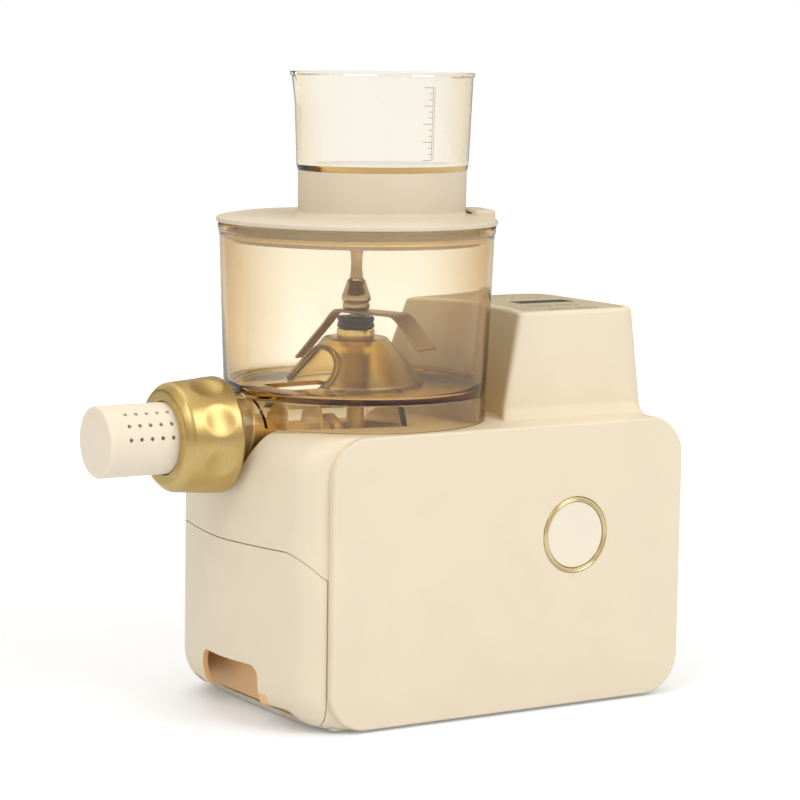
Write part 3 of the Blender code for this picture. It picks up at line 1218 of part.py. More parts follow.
def build_die():
    """Build the die cap: a closed tube with two groups of small holes and a flange held by the ring nut."""
    flange = BARREL_NECK_RADIUS + THREAD_RIDGE / 2
    inner = DIE_RADIUS - DIE_WALL
    profile = [(flange, DIE_FLANGE_BACK), (flange, DIE_FLANGE_FRONT), (DIE_RADIUS, DIE_FLANGE_FRONT),
               (DIE_RADIUS, DIE_END + DIE_EDGE), (DIE_RADIUS - DIE_EDGE / 3, DIE_END + DIE_EDGE / 3),
               (DIE_RADIUS - DIE_EDGE, DIE_END), (0, DIE_END), (0, DIE_END + DIE_WALL),
               (inner, DIE_END + DIE_WALL), (inner, DIE_FLANGE_BACK)]
    die = turned("die_cap", profile, "cream", axis="X", place=(0, 0, AXIS_Z), closed=True)
    work = bmesh.new()
    turns = [DIE_FIRST_ROW + row * DIE_ROW_STEP + 2 * math.pi * group / DIE_HOLE_GROUPS
             for group in range(DIE_HOLE_GROUPS) for row in range(DIE_HOLE_ROWS)]
    for angle in turns:
        for column in range(DIE_HOLE_COLUMNS):
            x = DIE_HOLE_FIRST + column * DIE_HOLE_PITCH
            turn = Matrix.Rotation(angle, 4, "X")
            reach = DIE_RADIUS - DIE_WALL / 2
            place = Matrix.Translation((x, 0, AXIS_Z)) @ turn @ Matrix.Translation((0, 0, reach))
            bmesh.ops.create_cone(work, cap_ends=True, segments=DIE_HOLE_SIDES, radius1=DIE_HOLE_RADIUS,
                                  radius2=DIE_HOLE_RADIUS, depth=2 * DIE_WALL, matrix=place)
    cut(die, add_object("die_hole_cutter", mesh_of("die_hole_cutter", work)))
    return smooth(die)


def oval(centre_x, half_length, half_width, height, spout=0.0):
    """List the points of a level oval, pulled out to a spout at its -X end."""
    made = []
    for index in range(OVAL_POINTS):
        share = index / OVAL_POINTS
        angle = 2 * math.pi * share
        away = abs(share - 0.5) / SPOUT_WIDTH_SHARE
        pull = spout * max(0.0, 1.0 - away) ** SPOUT_POWER
        made.append((centre_x + half_length * math.cos(angle) - pull, half_width * math.sin(angle), height))
    return made


def build_lid():
    """Build the lid with its oval neck, its skirt, its catch and the gasket."""
    under = LID_BOTTOM
    top = LID_TOP + LID_CROWN
    profile = [(0, top), (NECK_HALF_LENGTH + NECK_X, top), (LID_RADIUS - LID_EDGE / 2, LID_TOP),
               (LID_RADIUS, LID_TOP - LID_EDGE / 2), (LID_RADIUS, under), (LID_SKIRT_RADIUS, under),
               (LID_SKIRT_RADIUS, under - LID_SKIRT_DEPTH), (LID_SKIRT_BORE, under - LID_SKIRT_DEPTH),
               (LID_SKIRT_BORE, top - LID_THICKNESS), (0, top - LID_THICKNESS)]
    lid = turned("lid", profile, "cream")
    low = top - LID_THICKNESS
    neck = loft("neck_form", [oval(NECK_X, NECK_HALF_LENGTH, NECK_HALF_WIDTH, low),
                              oval(NECK_X, NECK_HALF_LENGTH, NECK_HALF_WIDTH, NECK_TOP_Z)])
    join(lid, neck)
    chute = [oval(NECK_X, NECK_HALF_LENGTH - NECK_WALL, NECK_HALF_WIDTH - NECK_WALL, height)
             for height in (low - OVERRUN, NECK_TOP_Z + OVERRUN)]
    cut(lid, loft("chute_cutter", chute))
    tab = box("tab_form", (TAB_START, -TAB_WIDTH / 2, low),
              (TAB_START + TAB_LENGTH, TAB_WIDTH / 2, LID_TOP + TAB_HEIGHT))
    slot = box("tab_slot_cutter", (TAB_START - OVERRUN, -TAB_WIDTH / 4, top + GAP),
               (TAB_START + TAB_LENGTH / 2, TAB_WIDTH / 4, LID_TOP + 2 * TAB_HEIGHT / 3))
    tab.rotation_euler.z = slot.rotation_euler.z = TAB_TURN
    cut(join(lid, tab), slot)
    wall_inner = BOWL_TOP_RADIUS - BOWL_WALL
    gasket_top = under - LID_SKIRT_DEPTH / 2
    turned("lid_gasket",
           [(wall_inner - GAP, gasket_top), (wall_inner - GAP, gasket_top - GASKET_HEIGHT),
            (LID_SKIRT_RADIUS + GAP, gasket_top - GASKET_HEIGHT), (LID_SKIRT_RADIUS + GAP, gasket_top)],
           "rubber", closed=True)
    return smooth(lid, 30.0)


def cup_rings(inset, floor):
    """List the cup's sections from a floor height to the rim, drawn in by an inset."""
    rings = []
    base_length, base_width = NECK_HALF_LENGTH + CUP_BASE_PROUD, NECK_HALF_WIDTH + CUP_BASE_PROUD
    for share in CUP_HEIGHT_SHARES:
        length = base_length + (CUP_RIM_HALF_LENGTH - base_length) * share - inset
        width = base_width + (CUP_RIM_HALF_WIDTH - base_width) * share - inset
        height = CUP_BOTTOM + CUP_HEIGHT * share
        below_rim = CUP_TOP - height
        spout = SPOUT_REACH * max(0.0, 1.0 - below_rim / SPOUT_DEPTH)
        lip = CUP_LIP if (below_rim <= CUP_LIP_HEIGHT and not inset) else 0.0
        rings.append(oval(NECK_X, length + lip, width + lip, max(height, floor), spout))
    return rings


def build_cup():
    """Build the clear measuring cup with its spout and the spigot that sits in the neck."""
    cup = loft("measuring_cup", cup_rings(0, CUP_BOTTOM), "amber")
    spigot_inset = NECK_WALL + CUP_FIT
    spigot = [oval(NECK_X, NECK_HALF_LENGTH - spigot_inset, NECK_HALF_WIDTH - spigot_inset, height)
              for height in (CUP_BOTTOM - CUP_SPIGOT_DEPTH, CUP_BOTTOM + CUP_FLOOR / 2)]
    join(cup, loft("spigot_form", spigot))
    hollow = cup_rings(CUP_WALL, CUP_BOTTOM + CUP_FLOOR)
    hollow.append([(x, y, CUP_TOP + OVERRUN) for x, y, _ in hollow[-1]])
    cut(cup, loft("cup_hollow_cutter", hollow))
    return smooth(cup, 30.0)


def build_drawer():
    """Build the storage drawer: the end's curved front with its finger notch, and the tray behind it."""
    back = PLATE_LEFT - DRAWER_SEAM
    front = PLATE_LEFT - END_BULGE - OVERRUN
    low = BASE_TOP + TRAY_CLEARANCE
    top = TRAY_TOP
    web_low = NOTCH_TOP + TRAY_WALL
    wall = TRAY_WALL
    drawer = loft("drawer", core_rings(0), "cream")
    combine(drawer, drawer_block(DRAWER_SEAM, back), "INTERSECT")
    void = loft("drawer_void_cutter", core_rings(DRAWER_FRONT_WALL))
    cut(void, box("web_form", (front, -WEB_HALF_WIDTH, web_low), (back + GAP, WEB_HALF_WIDTH, top)))
    cut(drawer, void)
    flat, slope = DRAWER_RAISE_HALF, DRAWER_RAISE_HALF + DRAWER_RAISE_SLOPE
    under, foot = BODY_BOTTOM - OVERRUN, BODY_BOTTOM + GAP
    raised = [(-slope, under), (slope, under), (slope, foot), (flat, DRAWER_RAISE), (-flat, DRAWER_RAISE),
              (-slope, foot)]
    cut(drawer, loft("raise_cutter", [[(x, y, z) for y, z in raised] for x in (front, back + GAP)]))
    join(drawer, box("tray_form", (TRAY_FRONT, -TRAY_HALF_WIDTH, low),
                     (DRAWER_BACK, TRAY_HALF_WIDTH, top)))
    hollow = loft("drawer_hollow_cutter", core_rings(DRAWER_FRONT_WALL + GAP))
    within = box("hollow_limits", (front, -WEB_HALF_WIDTH + wall, web_low + wall),
                 (TRAY_FRONT + wall + OVERRUN, WEB_HALF_WIDTH - wall, top + OVERRUN))
    combine(hollow, within, "INTERSECT")
    cut(drawer, hollow,
        box("tray_hollow_cutter", (TRAY_FRONT + wall, -TRAY_HALF_WIDTH + wall, low + wall),
            (DRAWER_BACK - wall, TRAY_HALF_WIDTH - wall, top + 2 * OVERRUN)))
    rings = []
    for x, near, corner in ((front, NOTCH_NEAR - NOTCH_SLOPE, 2 * NOTCH_CORNER),
                            (TRAY_FRONT - GAP, NOTCH_NEAR, NOTCH_CORNER)):
        shape = arc((NOTCH_FAR - corner, NOTCH_TOP - corner), corner, 0, 90, 3)
        shape += arc((near + corner, NOTCH_TOP - corner), corner, 90, 180, 3)
        rings.append([(x, y, z) for y, z in shape + [(near, -OVERRUN), (NOTCH_FAR, -OVERRUN)]])
    cut(drawer, loft("notch_cutter", rings))
    return smooth(drawer, 40.0)


def move_over_origin():
    """Move every piece and cutter along X, so that the machine's middle lies over the origin."""
    for item in [*PIECES.objects, *CUTTERS.objects]:
        item.location.x -= MIDDLE_X


def main():
    """Build every piece."""
    build_housing()
    build_side_plates()
    build_base()
    build_control_panel()
    build_button()
    build_drive()
    build_power()
    build_bowl()
    build_cone()
    build_spindle()
    build_auger()
    build_ring_nut()
    build_die()
    build_lid()
    build_cup()
    build_drawer()
    move_over_origin()


clear_scene()
PIECES = new_collection("pasta_maker")
CUTTERS = new_collection("cutters")
main()
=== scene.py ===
"""Dressed model of an electric pasta maker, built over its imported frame.

Lengths are metres, with +Z up, -X toward the die cap, and -Y toward the side plate with the push button.
Sizes count along X from the bowl's axis. Each finished piece is moved to the frame's own origin.
"""
from __future__ import annotations

import json
import logging
import math
from dataclasses import dataclass
from enum import Enum
from typing import Any, Sequence

import bmesh
import bpy
from mathutils import Matrix, Vector

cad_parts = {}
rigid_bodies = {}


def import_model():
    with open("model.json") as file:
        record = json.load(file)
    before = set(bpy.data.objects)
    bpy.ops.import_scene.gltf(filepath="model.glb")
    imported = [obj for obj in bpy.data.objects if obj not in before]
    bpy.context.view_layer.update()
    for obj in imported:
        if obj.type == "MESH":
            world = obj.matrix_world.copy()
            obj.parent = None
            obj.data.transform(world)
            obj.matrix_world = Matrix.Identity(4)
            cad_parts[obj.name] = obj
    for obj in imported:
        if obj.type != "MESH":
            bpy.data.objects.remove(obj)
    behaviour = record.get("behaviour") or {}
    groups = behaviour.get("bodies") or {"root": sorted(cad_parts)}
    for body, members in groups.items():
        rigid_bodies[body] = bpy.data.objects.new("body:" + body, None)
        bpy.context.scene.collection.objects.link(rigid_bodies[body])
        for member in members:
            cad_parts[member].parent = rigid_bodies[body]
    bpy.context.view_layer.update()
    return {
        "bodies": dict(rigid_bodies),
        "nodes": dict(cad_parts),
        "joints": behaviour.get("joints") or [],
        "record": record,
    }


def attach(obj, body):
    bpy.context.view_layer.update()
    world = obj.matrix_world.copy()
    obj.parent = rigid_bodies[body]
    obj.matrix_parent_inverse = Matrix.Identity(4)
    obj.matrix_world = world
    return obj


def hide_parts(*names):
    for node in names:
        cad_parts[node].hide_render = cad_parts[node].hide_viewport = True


LOG = logging.getLogger("pasta_maker")
BOWL_X = -0.00815  # where the bowl's axis stands in the frame
AXIS_Z = 0.1472  # the height of the extruder's axis
GAP = 0.0003  # the clearance between pieces that fit
OVERRUN = 0.004  # how far a cutter reaches past what it cuts
PRINT_LIFT = 0.00002  # how far printed marks stand off their face
PRINT_DEPTH = 0.00004  # how thick printed marks are
MIX_SHARE, MIX_FIRST, MIX_SECOND, MIX_RESULT = 0, 6, 7, 2  # the colour sockets of a Mix node

Point = tuple[float, float, float]
Flat = tuple[float, float]
Colour = tuple[float, float, float]
Socket = bpy.types.NodeSocket

EXTRUDER_LINE: Point = (0, 0, AXIS_Z)
BUTTON_PLACE: Point = (0.0933, -0.0720, 0.0923)
BUTTON_RADIUS = 0.0201


class Axis(Enum):
    """The frame's axes that a turned piece can stand on."""

    X = "X"
    Y = "Y"
    Z = "Z"


class Way(Enum):
    """How one solid is combined with another."""

    CUT = "DIFFERENCE"
    JOIN = "UNION"
    KEEP = "INTERSECT"


# ---- Outlines and meshes ----


def arc(centre: Flat, radius: float, start: float, end: float, steps: int) -> list[Flat]:
    """List points on an arc, both ends included.

    Args:
        centre: The arc's centre.
        radius: Its radius.
        start: The first angle in degrees.
        end: The last angle in degrees.
        steps: How many stretches the arc has.

    Returns:
        The points in order.
    """
    angles = [math.radians(start + (end - start) * step / steps) for step in range(steps + 1)]
    return [(centre[0] + radius * math.cos(a), centre[1] + radius * math.sin(a)) for a in angles]


def rounded_rectangle(left: float, right: float, low: float, high: float, radius: float,
                      steps: int = 14) -> list[Flat]:
    """List the points of a rectangle with round corners, anticlockwise.

    Args:
        left: Its lowest first coordinate.
        right: Its highest first coordinate.
        low: Its lowest second coordinate.
        high: Its highest second coordinate.
        radius: The corners' radius.
        steps: The stretches in each corner.

    Returns:
        The outline's points.
    """
    made = arc((right - radius, high - radius), radius, 0, 90, steps)
    made += arc((left + radius, high - radius), radius, 90, 180, steps)
    made += arc((left + radius, low + radius), radius, 180, 270, steps)
    made += arc((right - radius, low + radius), radius, 270, 360, steps)
    return made


def softened(corners: Sequence[Flat], radii: Sequence[float], steps: int = 10) -> list[Flat]:
    """Round the corners of a closed polygon.

    Args:
        corners: The polygon's corners.
        radii: How far each corner's rounding reaches along its sides, 0 to keep it.
        steps: The stretches in each rounding.

    Returns:
        The rounded polygon's points.
    """
    made: list[Flat] = []
    count = len(corners)
    for index, corner in enumerate(corners):
        reach = radii[index]
        here = Vector(corner)
        if reach == 0:
            made.append((here.x, here.y))
            continue
        start = here + (Vector(corners[index - 1]) - here).normalized() * reach
        end = here + (Vector(corners[(index + 1) % count]) - here).normalized() * reach
        for step in range(steps + 1):
            share = step / steps
            point = start.lerp(here, share).lerp(here.lerp(end, share), share)
            made.append((point.x, point.y))
    return made


def section(corners: Sequence[Point], steps: int = 5) -> list[Flat]:
    """Round a section whose corners carry their own rounding.

    Args:
        corners: Radius, height and rounding of each corner.
        steps: The stretches in each rounding.

    Returns:
        The section's points.
    """
    return softened([(r, z) for r, z, _ in corners], [f for _, _, f in corners], steps)


def oval(centre_x: float, half_length: float, half_width: float, height: float,
         spout: float = 0.0, points: int = 96, share: float = 0.13) -> list[Point]:
    """List the points of a level oval, pulled out to a spout at its -X end.

    Args:
        centre_x: Where its middle lies along X.
        half_length: Half its length along X.
        half_width: Half its width along Y.
        height: Its height.
        spout: How far the spout stands out.
        points: How many points it has.
        share: The part of the oval, each way, that the spout takes.

    Returns:
        The oval's points.
    """
    made = []
    for index in range(points):
        turn = index / points
        angle = 2 * math.pi * turn
        pull = spout * max(0.0, 1.0 - abs(turn - 0.5) / share) ** 1.5
        made.append((centre_x + half_length * math.cos(angle) - pull, half_width * math.sin(angle), height))
    return made


def linked(name: str, data: bpy.types.ID) -> bpy.types.Object:
    """Make an object of some data and link it to the scene."""
    item = bpy.data.objects.new(name, data)
    bpy.context.scene.collection.objects.link(item)
    return item


def result_mesh(item: bpy.types.Object) -> bpy.types.Mesh:
    """Return a new mesh of an object as its modifiers leave it."""
    bpy.context.view_layer.update()
    return bpy.data.meshes.new_from_object(item.evaluated_get(bpy.context.evaluated_depsgraph_get()))


def rounding(radius: float, steps: int) -> list[Flat]:
    """List how far the rounding of an edge draws in and drops, from its side to its top."""
    angles = [math.radians(90 * step / steps) for step in range(steps + 1)]
    return [(radius * (1 - math.cos(angle)), radius * (1 - math.sin(angle))) for angle in angles]


def object_of(name: str, work: bmesh.types.BMesh) -> bpy.types.Object:
    """Turn a work mesh into an object with outward normals.

    Args:
        name: The object's name.
        work: The mesh, which is freed.

    Returns:
        The new object, linked to the scene.
    """
    bmesh.ops.remove_doubles(work, verts=work.verts, dist=1e-7)
    bmesh.ops.recalc_face_normals(work, faces=work.faces)
    mesh = bpy.data.meshes.new(name)
    work.to_mesh(mesh)
    work.free()
    return linked(name, mesh)


def loft(name: str, rings: Sequence[Sequence[Point]]) -> bpy.types.Object:
    """Join rings of points and close both ends.

    Args:
        name: The object's name.
        rings: The rings, with as many points in each.

    Returns:
        The closed solid.
    """
    work = bmesh.new()
    rows = [[work.verts.new(point) for point in ring] for ring in rings]
    for row, after in zip(rows, rows[1:]):
        for index, corner in enumerate(row):
            beside = (index + 1) % len(row)
            work.faces.new((corner, row[beside], after[beside], after[index]))
    work.faces.new(rows[0])
    work.faces.new(rows[-1])
    return object_of(name, work)


def prism(name: str, outline: Sequence[Flat], axis: Axis, ends: Flat) -> bpy.types.Object:
    """Draw a flat outline out between two places along an axis.

    Args:
        name: The object's name.
        outline: The outline across the axis.
        axis: The axis that it follows.
        ends: Where it starts and ends.

    Returns:
        The solid.
    """
    return loft(name, [[{Axis.X: (end, a, b), Axis.Y: (a, end, b), Axis.Z: (a, b, end)}[axis]
                        for a, b in outline]
                       for end in ends])


def slab(name: str, outline: Sequence[Flat], low: float, high: float, edge: float) -> bpy.types.Object:
    """Give a flat outline height, with its upper edge softened.

    Args:
        name: The object's name.
        outline: The outline in X and Y.
        low: The lower face's height.
        high: The upper face's height.
        edge: The rounding of the upper edge.

    Returns:
        The solid.
    """
    rings = [[(x, y, low) for x, y in outline]]
    middle = sum((Vector(point) for point in outline), Vector((0, 0))) / len(outline)
    for inset, drop in rounding(edge, 3):
        ring = []
        for x, y in outline:
            away = Vector((x, y)) - middle
            place = middle + away * max(0.0, 1 - inset / max(away.length, 1e-6))
            ring.append((place.x, place.y, high - drop))
        rings.append(ring)
    return loft(name, rings)


def turned(name: str, profile: Sequence[Flat], steps: int = 128, axis: Axis = Axis.Z,
           place: Point = (0, 0, 0)) -> bpy.types.Object:
    """Turn a closed section about an axis.

    Args:
        name: The object's name.
        profile: The section's radius and distance along the axis, as a closed loop.
        steps: How many stretches go round.
        axis: The axis it turns about.
        place: A point on the axis from which the distances count.

    Returns:
        The turned solid.
    """
    work = bmesh.new()
    rows: list[list[bmesh.types.BMVert]] = []
    for radius, along in profile:
        count = steps if radius > 1e-7 else 1
        row = []
        for step in range(count):
            angle = 2 * math.pi * step / steps
            across, up = radius * math.cos(angle), radius * math.sin(angle)
            places = {Axis.X: (along, across, up), Axis.Y: (up, along, across), Axis.Z: (across, up, along)}
            local = places[axis]
            row.append(work.verts.new(Vector(local) + Vector(place)))
        rows.append(row)
    for index, row in enumerate(rows):
        after = rows[(index + 1) % len(rows)]
        if len(row) == 1 and len(after) == 1:
            continue
        for step in range(steps):
            ahead = (step + 1) % steps
            corners = [row[0]] if len(row) == 1 else [row[step], row[ahead]]
            corners += [after[0]] if len(after) == 1 else [after[ahead], after[step]]
            work.faces.new(corners)
    return object_of(name, work)


def box(name: str, low: Point, high: Point) -> bpy.types.Object:
    """Make a plain box between its lowest and its highest corner, for cuts and joins."""
    corners = [(low[0], low[1]), (high[0], low[1]), (high[0], high[1]), (low[0], high[1])]
    return prism(name, corners, Axis.Z, (low[2], high[2]))


def rod(name: str, start: Point, end: Point, radius: float, steps: int = 64,
        end_radius: float | None = None) -> bpy.types.Object:
    """Make a round rod between two points.

    Args:
        name: The object's name.
        start: The first end's middle.
        end: The other end's middle.
        radius: Its radius at the start.
        steps: How many sides it has.
        end_radius: Its radius at the end, if it tapers.

    Returns:
        The rod.
    """
    line = Vector(end) - Vector(start)
    turn = line.to_track_quat("Z", "Y").to_matrix()
    rings = []
    for base, size in ((Vector(start), radius), (Vector(end), radius if end_radius is None else end_radius)):
        rings.append([tuple(base + turn @ Vector((size * math.cos(a), size * math.sin(a), 0)))
                      for a in (2 * math.pi * step / steps for step in range(steps))])
    return loft(name, rings)


def frozen(item: bpy.types.Object) -> bpy.types.Object:
    """Apply an object's modifiers to its mesh and return it."""
    mesh, old = result_mesh(item), item.data
    item.modifiers.clear()
    item.data = mesh
    bpy.data.meshes.remove(old)
    return item


def combine(item: bpy.types.Object, way: Way, *others: bpy.types.Object) -> bpy.types.Object:
    """Cut, join or keep what other solids share with a solid, and remove them.

    Args:
        item: The solid that changes.
        way: How the others are combined with it.
        others: The other solids.

    Returns:
        The changed solid.
    """
    for other in others:
        boolean = item.modifiers.new(other.name, "BOOLEAN")
        boolean.operation = way.value
        boolean.solver = "EXACT"
        boolean.object = other
    frozen(item)
    for other in others:
        bpy.data.objects.remove(other, do_unlink=True)
    return item


def merged(item: bpy.types.Object, *others: bpy.types.Object) -> bpy.types.Object:
    """Put other objects' meshes into one object without cutting them.

    Args:
        item: The object that takes them.
        others: The objects that are taken in and removed.

    Returns:
        The object.
    """
    work = bmesh.new()
    work.from_mesh(item.data)
    for other in others:
        work.from_mesh(other.data)
        bpy.data.objects.remove(other, do_unlink=True)
    work.to_mesh(item.data)
    work.free()
    return item


# ---- Node sheets ----


class ShaderSheet:
    """Adds and links the nodes of one shader tree."""

    def __init__(self, tree: bpy.types.NodeTree, output: str = "OutputMaterial") -> None:
        """Clear a tree and give it its output.

        Args:
            tree: The node tree.
            output: The output node's type, without its prefix.
        """
        self.nodes, self.links = tree.nodes, tree.links
        self.nodes.clear()
        self.output = self.add(output)

    def add(self, kind: str, **values: Any) -> bpy.types.Node:
        """Add a node and set its inputs or settings by name.

        Args:
            kind: The node's type, without its prefix.
            values: Inputs, with underscores for spaces, or settings. A socket as a value is linked.

        Returns:
            The node.
        """
        node = self.nodes.new("ShaderNode" + kind)
        for key, value in values.items():
            title = key.replace("_", " ").title().replace("Ior", "IOR")
            if title not in node.inputs:
                setattr(node, key, value)
            elif isinstance(value, Socket):
                self.links.new(value, node.inputs[title])
            else:
                node.inputs[title].default_value = value
        return node

    def object_coordinates(self) -> Socket:
        """Return the object's own coordinates."""
        return self.add("TexCoord").outputs["Object"]

    def noise(self, scale: float, detail: float = 3.0, vector: Socket | None = None,
              roughness: float = 0.5) -> Socket:
        """Add a noise texture and return its factor.

        Args:
            scale: How fine it is.
            detail: How many octaves it has.
            vector: The coordinates, the object's own if left out.
            roughness: How strong the fine octaves are.

        Returns:
            The noise factor's socket.
        """
        node = self.add("TexNoise", scale=scale, detail=detail, roughness=roughness,
                        vector=vector or self.object_coordinates())
        return node.outputs["Fac"]

    def span(self, value: Socket, low: float, high: float, start: float = 0.0, end: float = 1.0) -> Socket:
        """Map a value from one range onto another, and hold it at the ends.

        Args:
            value: The value.
            low: The result at the start.
            high: The result at the end.
            start: Where the range starts.
            end: Where it ends.

        Returns:
            The mapped value's socket.
        """
        node = self.add("MapRange", value=value, from_min=start, from_max=end, to_min=low, to_max=high)
        return node.outputs["Result"]

    def chain(self, kind: str, *values: Any, **settings: Any) -> Socket:
        """Add a node whose inputs are filled in their order.

        Args:
            kind: The node's type, without its prefix.
            values: The inputs' sockets or numbers.
            settings: The node's own settings.

        Returns:
            The node's first output.
        """
        node = self.add(kind, **settings)
        for socket, value in zip(node.inputs, values):
            if isinstance(value, Socket):
                self.links.new(value, socket)
            else:
                socket.default_value = value
        return node.outputs[0]

    def sum(self, operation: str, *values: Any) -> Socket:
        """Work out one sum of sockets or numbers."""
        return self.chain("Math", *values, operation=operation)

    def blend(self, share: Socket, first: Colour, second: Colour) -> Socket:
        """Mix two colours by the second one's share."""
        node = self.add("Mix", data_type="RGBA")
        self.links.new(share, node.inputs[MIX_SHARE])
        node.inputs[MIX_FIRST].default_value = (*first, 1.0)
        node.inputs[MIX_SECOND].default_value = (*second, 1.0)
        return node.outputs[MIX_RESULT]

    def radial(self, axis: Axis, place: Point) -> Socket:
        """Give coordinates that are constant round an axis, for turned streaks.

        Args:
            axis: The axis of the piece.
            place: A point on it.

        Returns:
            A vector of distance along the axis, radius, and a little of the angle.
        """
        angle_share = 0.0006
        moved = self.add("Mapping", vector=self.object_coordinates(), location=tuple(-value for value in place))
        parts = self.add("SeparateXYZ", vector=moved.outputs["Vector"]).outputs
        along, across, up = {Axis.X: (0, 1, 2), Axis.Y: (1, 2, 0), Axis.Z: (2, 0, 1)}[axis]
        squares = self.sum("ADD", self.sum("POWER", parts[across], 2.0), self.sum("POWER", parts[up], 2.0))
        angle = self.sum("MULTIPLY", self.sum("ARCTAN2", parts[up], parts[across]), angle_share)
        return self.chain("CombineXYZ", parts[along], self.sum("SQRT", squares), angle)

    def relief(self, height: Socket, strength: float, distance: float, edge: float, samples: int) -> Socket:
        """Turn a height into a normal over softened edges.

        Args:
            height: The height's socket.
            strength: How strong the relief is.
            distance: How high it is.
            edge: The softened edges' radius.
            samples: How finely the edges are sampled.

        Returns:
            The normal's socket.
        """
        soft = self.add("Bevel", radius=edge, samples=samples).outputs["Normal"]
        bump = self.add("Bump", strength=strength, distance=distance, height=height, normal=soft)
        return bump.outputs["Normal"]

    def seen_directly(self) -> Socket:
        """Return 1 where the camera looks straight or through clear plastic, and 0 elsewhere."""
        rays = self.add("LightPath").outputs
        return self.sum("MAXIMUM", rays["Is Camera Ray"], rays["Is Transmission Ray"])

    def finish(self, surface: Socket, volume: Socket | None = None) -> None:
        """Link the surface, and the volume if there is one, to the output."""
        self.links.new(surface, self.output.inputs["Surface"])
        if volume is not None:
            self.links.new(volume, self.output.inputs["Volume"])


def empty_material(name: str) -> tuple[bpy.types.Material, ShaderSheet]:
    """Make a material by its name, and return it with its sheet."""
    material = bpy.data.materials.new(name)
    material.use_nodes = True
    return material, ShaderSheet(material.node_tree)


class GeometrySheet:
    """Adds and links the nodes of one Geometry Nodes tree."""

    def __init__(self, name: str, sizes: dict[str, float | int]) -> None:
        """Start a tree with its named sizes.

        Args:
            name: The tree's name.
            sizes: The named inputs with their values. A whole number makes a whole-number input.
        """
        self.tree = bpy.data.node_groups.new(name, "GeometryNodeTree")
        self.sizes = sizes
        face = self.tree.interface
        face.new_socket("Geometry", in_out="INPUT", socket_type="NodeSocketGeometry")
        face.new_socket("Geometry", in_out="OUTPUT", socket_type="NodeSocketGeometry")
        self.names: dict[str, str] = {}
        for title, value in sizes.items():
            kind = "NodeSocketInt" if isinstance(value, int) else "NodeSocketFloat"
            self.names[title] = face.new_socket(title, in_out="INPUT", socket_type=kind).identifier
        self.start = self.tree.nodes.new("NodeGroupInput")
        self.mesh = self.start.outputs["Geometry"]
        self.end = self.tree.nodes.new("NodeGroupOutput")

    def size(self, title: str) -> Socket:
        """Return a named size's socket."""
        return self.start.outputs[title]

    def add(self, kind: str, inputs: dict[int | str, Any], **settings: Any) -> Socket:
        """Add a node with its settings and inputs.

        Args:
            kind: The node's type, without the prefix GeometryNode.
            inputs: Input values or sockets by name or number.
            settings: The node's own settings.

        Returns:
            The node's first output.
        """
        node = self.tree.nodes.new(kind if kind.startswith("ShaderNode") else "GeometryNode" + kind)
        for key, value in settings.items():
            setattr(node, key, value)
        for key, value in inputs.items():
            if isinstance(value, Socket):
                self.tree.links.new(value, node.inputs[key])
            else:
                node.inputs[key].default_value = value
        return node.outputs[0]

    def join(self, *parts: Socket) -> Socket:
        """Join geometries in their order."""
        node = self.tree.nodes.new("GeometryNodeJoinGeometry")
        for part in parts:
            self.tree.links.new(part, node.inputs[0])
        return node.outputs[0]

    def moved(self, shape: Socket, place: Any, turn: Any = (0, 0, 0)) -> Socket:
        """Turn a geometry and move it."""
        return self.add("Transform", {"Geometry": shape, "Translation": place, "Rotation": turn})

    def copies(self, points: Socket, piece: Socket, **inputs: Any) -> Socket:
        """Put a copy of a piece on every point."""
        more = {key.title(): value for key, value in inputs.items()}
        return self.add("InstanceOnPoints", {"Points": points, "Instance": piece, **more})

    def sum(self, operation: str, *values: Any) -> Socket:
        """Work out one sum of sockets or numbers."""
        return self.add("ShaderNodeMath", dict(enumerate(values)), operation=operation)

    def vector(self, *parts: Any) -> Socket:
        """Join three sockets or numbers to a vector."""
        return self.add("ShaderNodeCombineXYZ", dict(enumerate(parts)))

    def baked(self, name: str, shape: Socket, coat: Coat,
              base: bpy.types.Object | None = None) -> bpy.types.Object:
        """End the tree, run it on a mesh and keep the result as a plain object.

        Args:
            name: The new object's name.
            shape: The geometry that the tree ends in.
            coat: The finish that it gets.
            base: The object whose mesh goes in, which is removed. An empty mesh if left out.

        Returns:
            The plain object.
        """
        real = self.add("RealizeInstances", {0: shape})
        coated = self.add("SetMaterial", {"Geometry": real, "Material": coat.material()})
        self.tree.links.new(coated, self.end.inputs[0])
        carrier = base or points_object(name + "_carrier", [])
        modifier = carrier.modifiers.new("Tree", "NODES")
        modifier.node_group = self.tree
        for title, value in self.sizes.items():
            modifier[self.names[title]] = value
        mesh = result_mesh(carrier)
        bpy.data.objects.remove(carrier, do_unlink=True)
        return linked(name, mesh)


# ---- Finishes ----


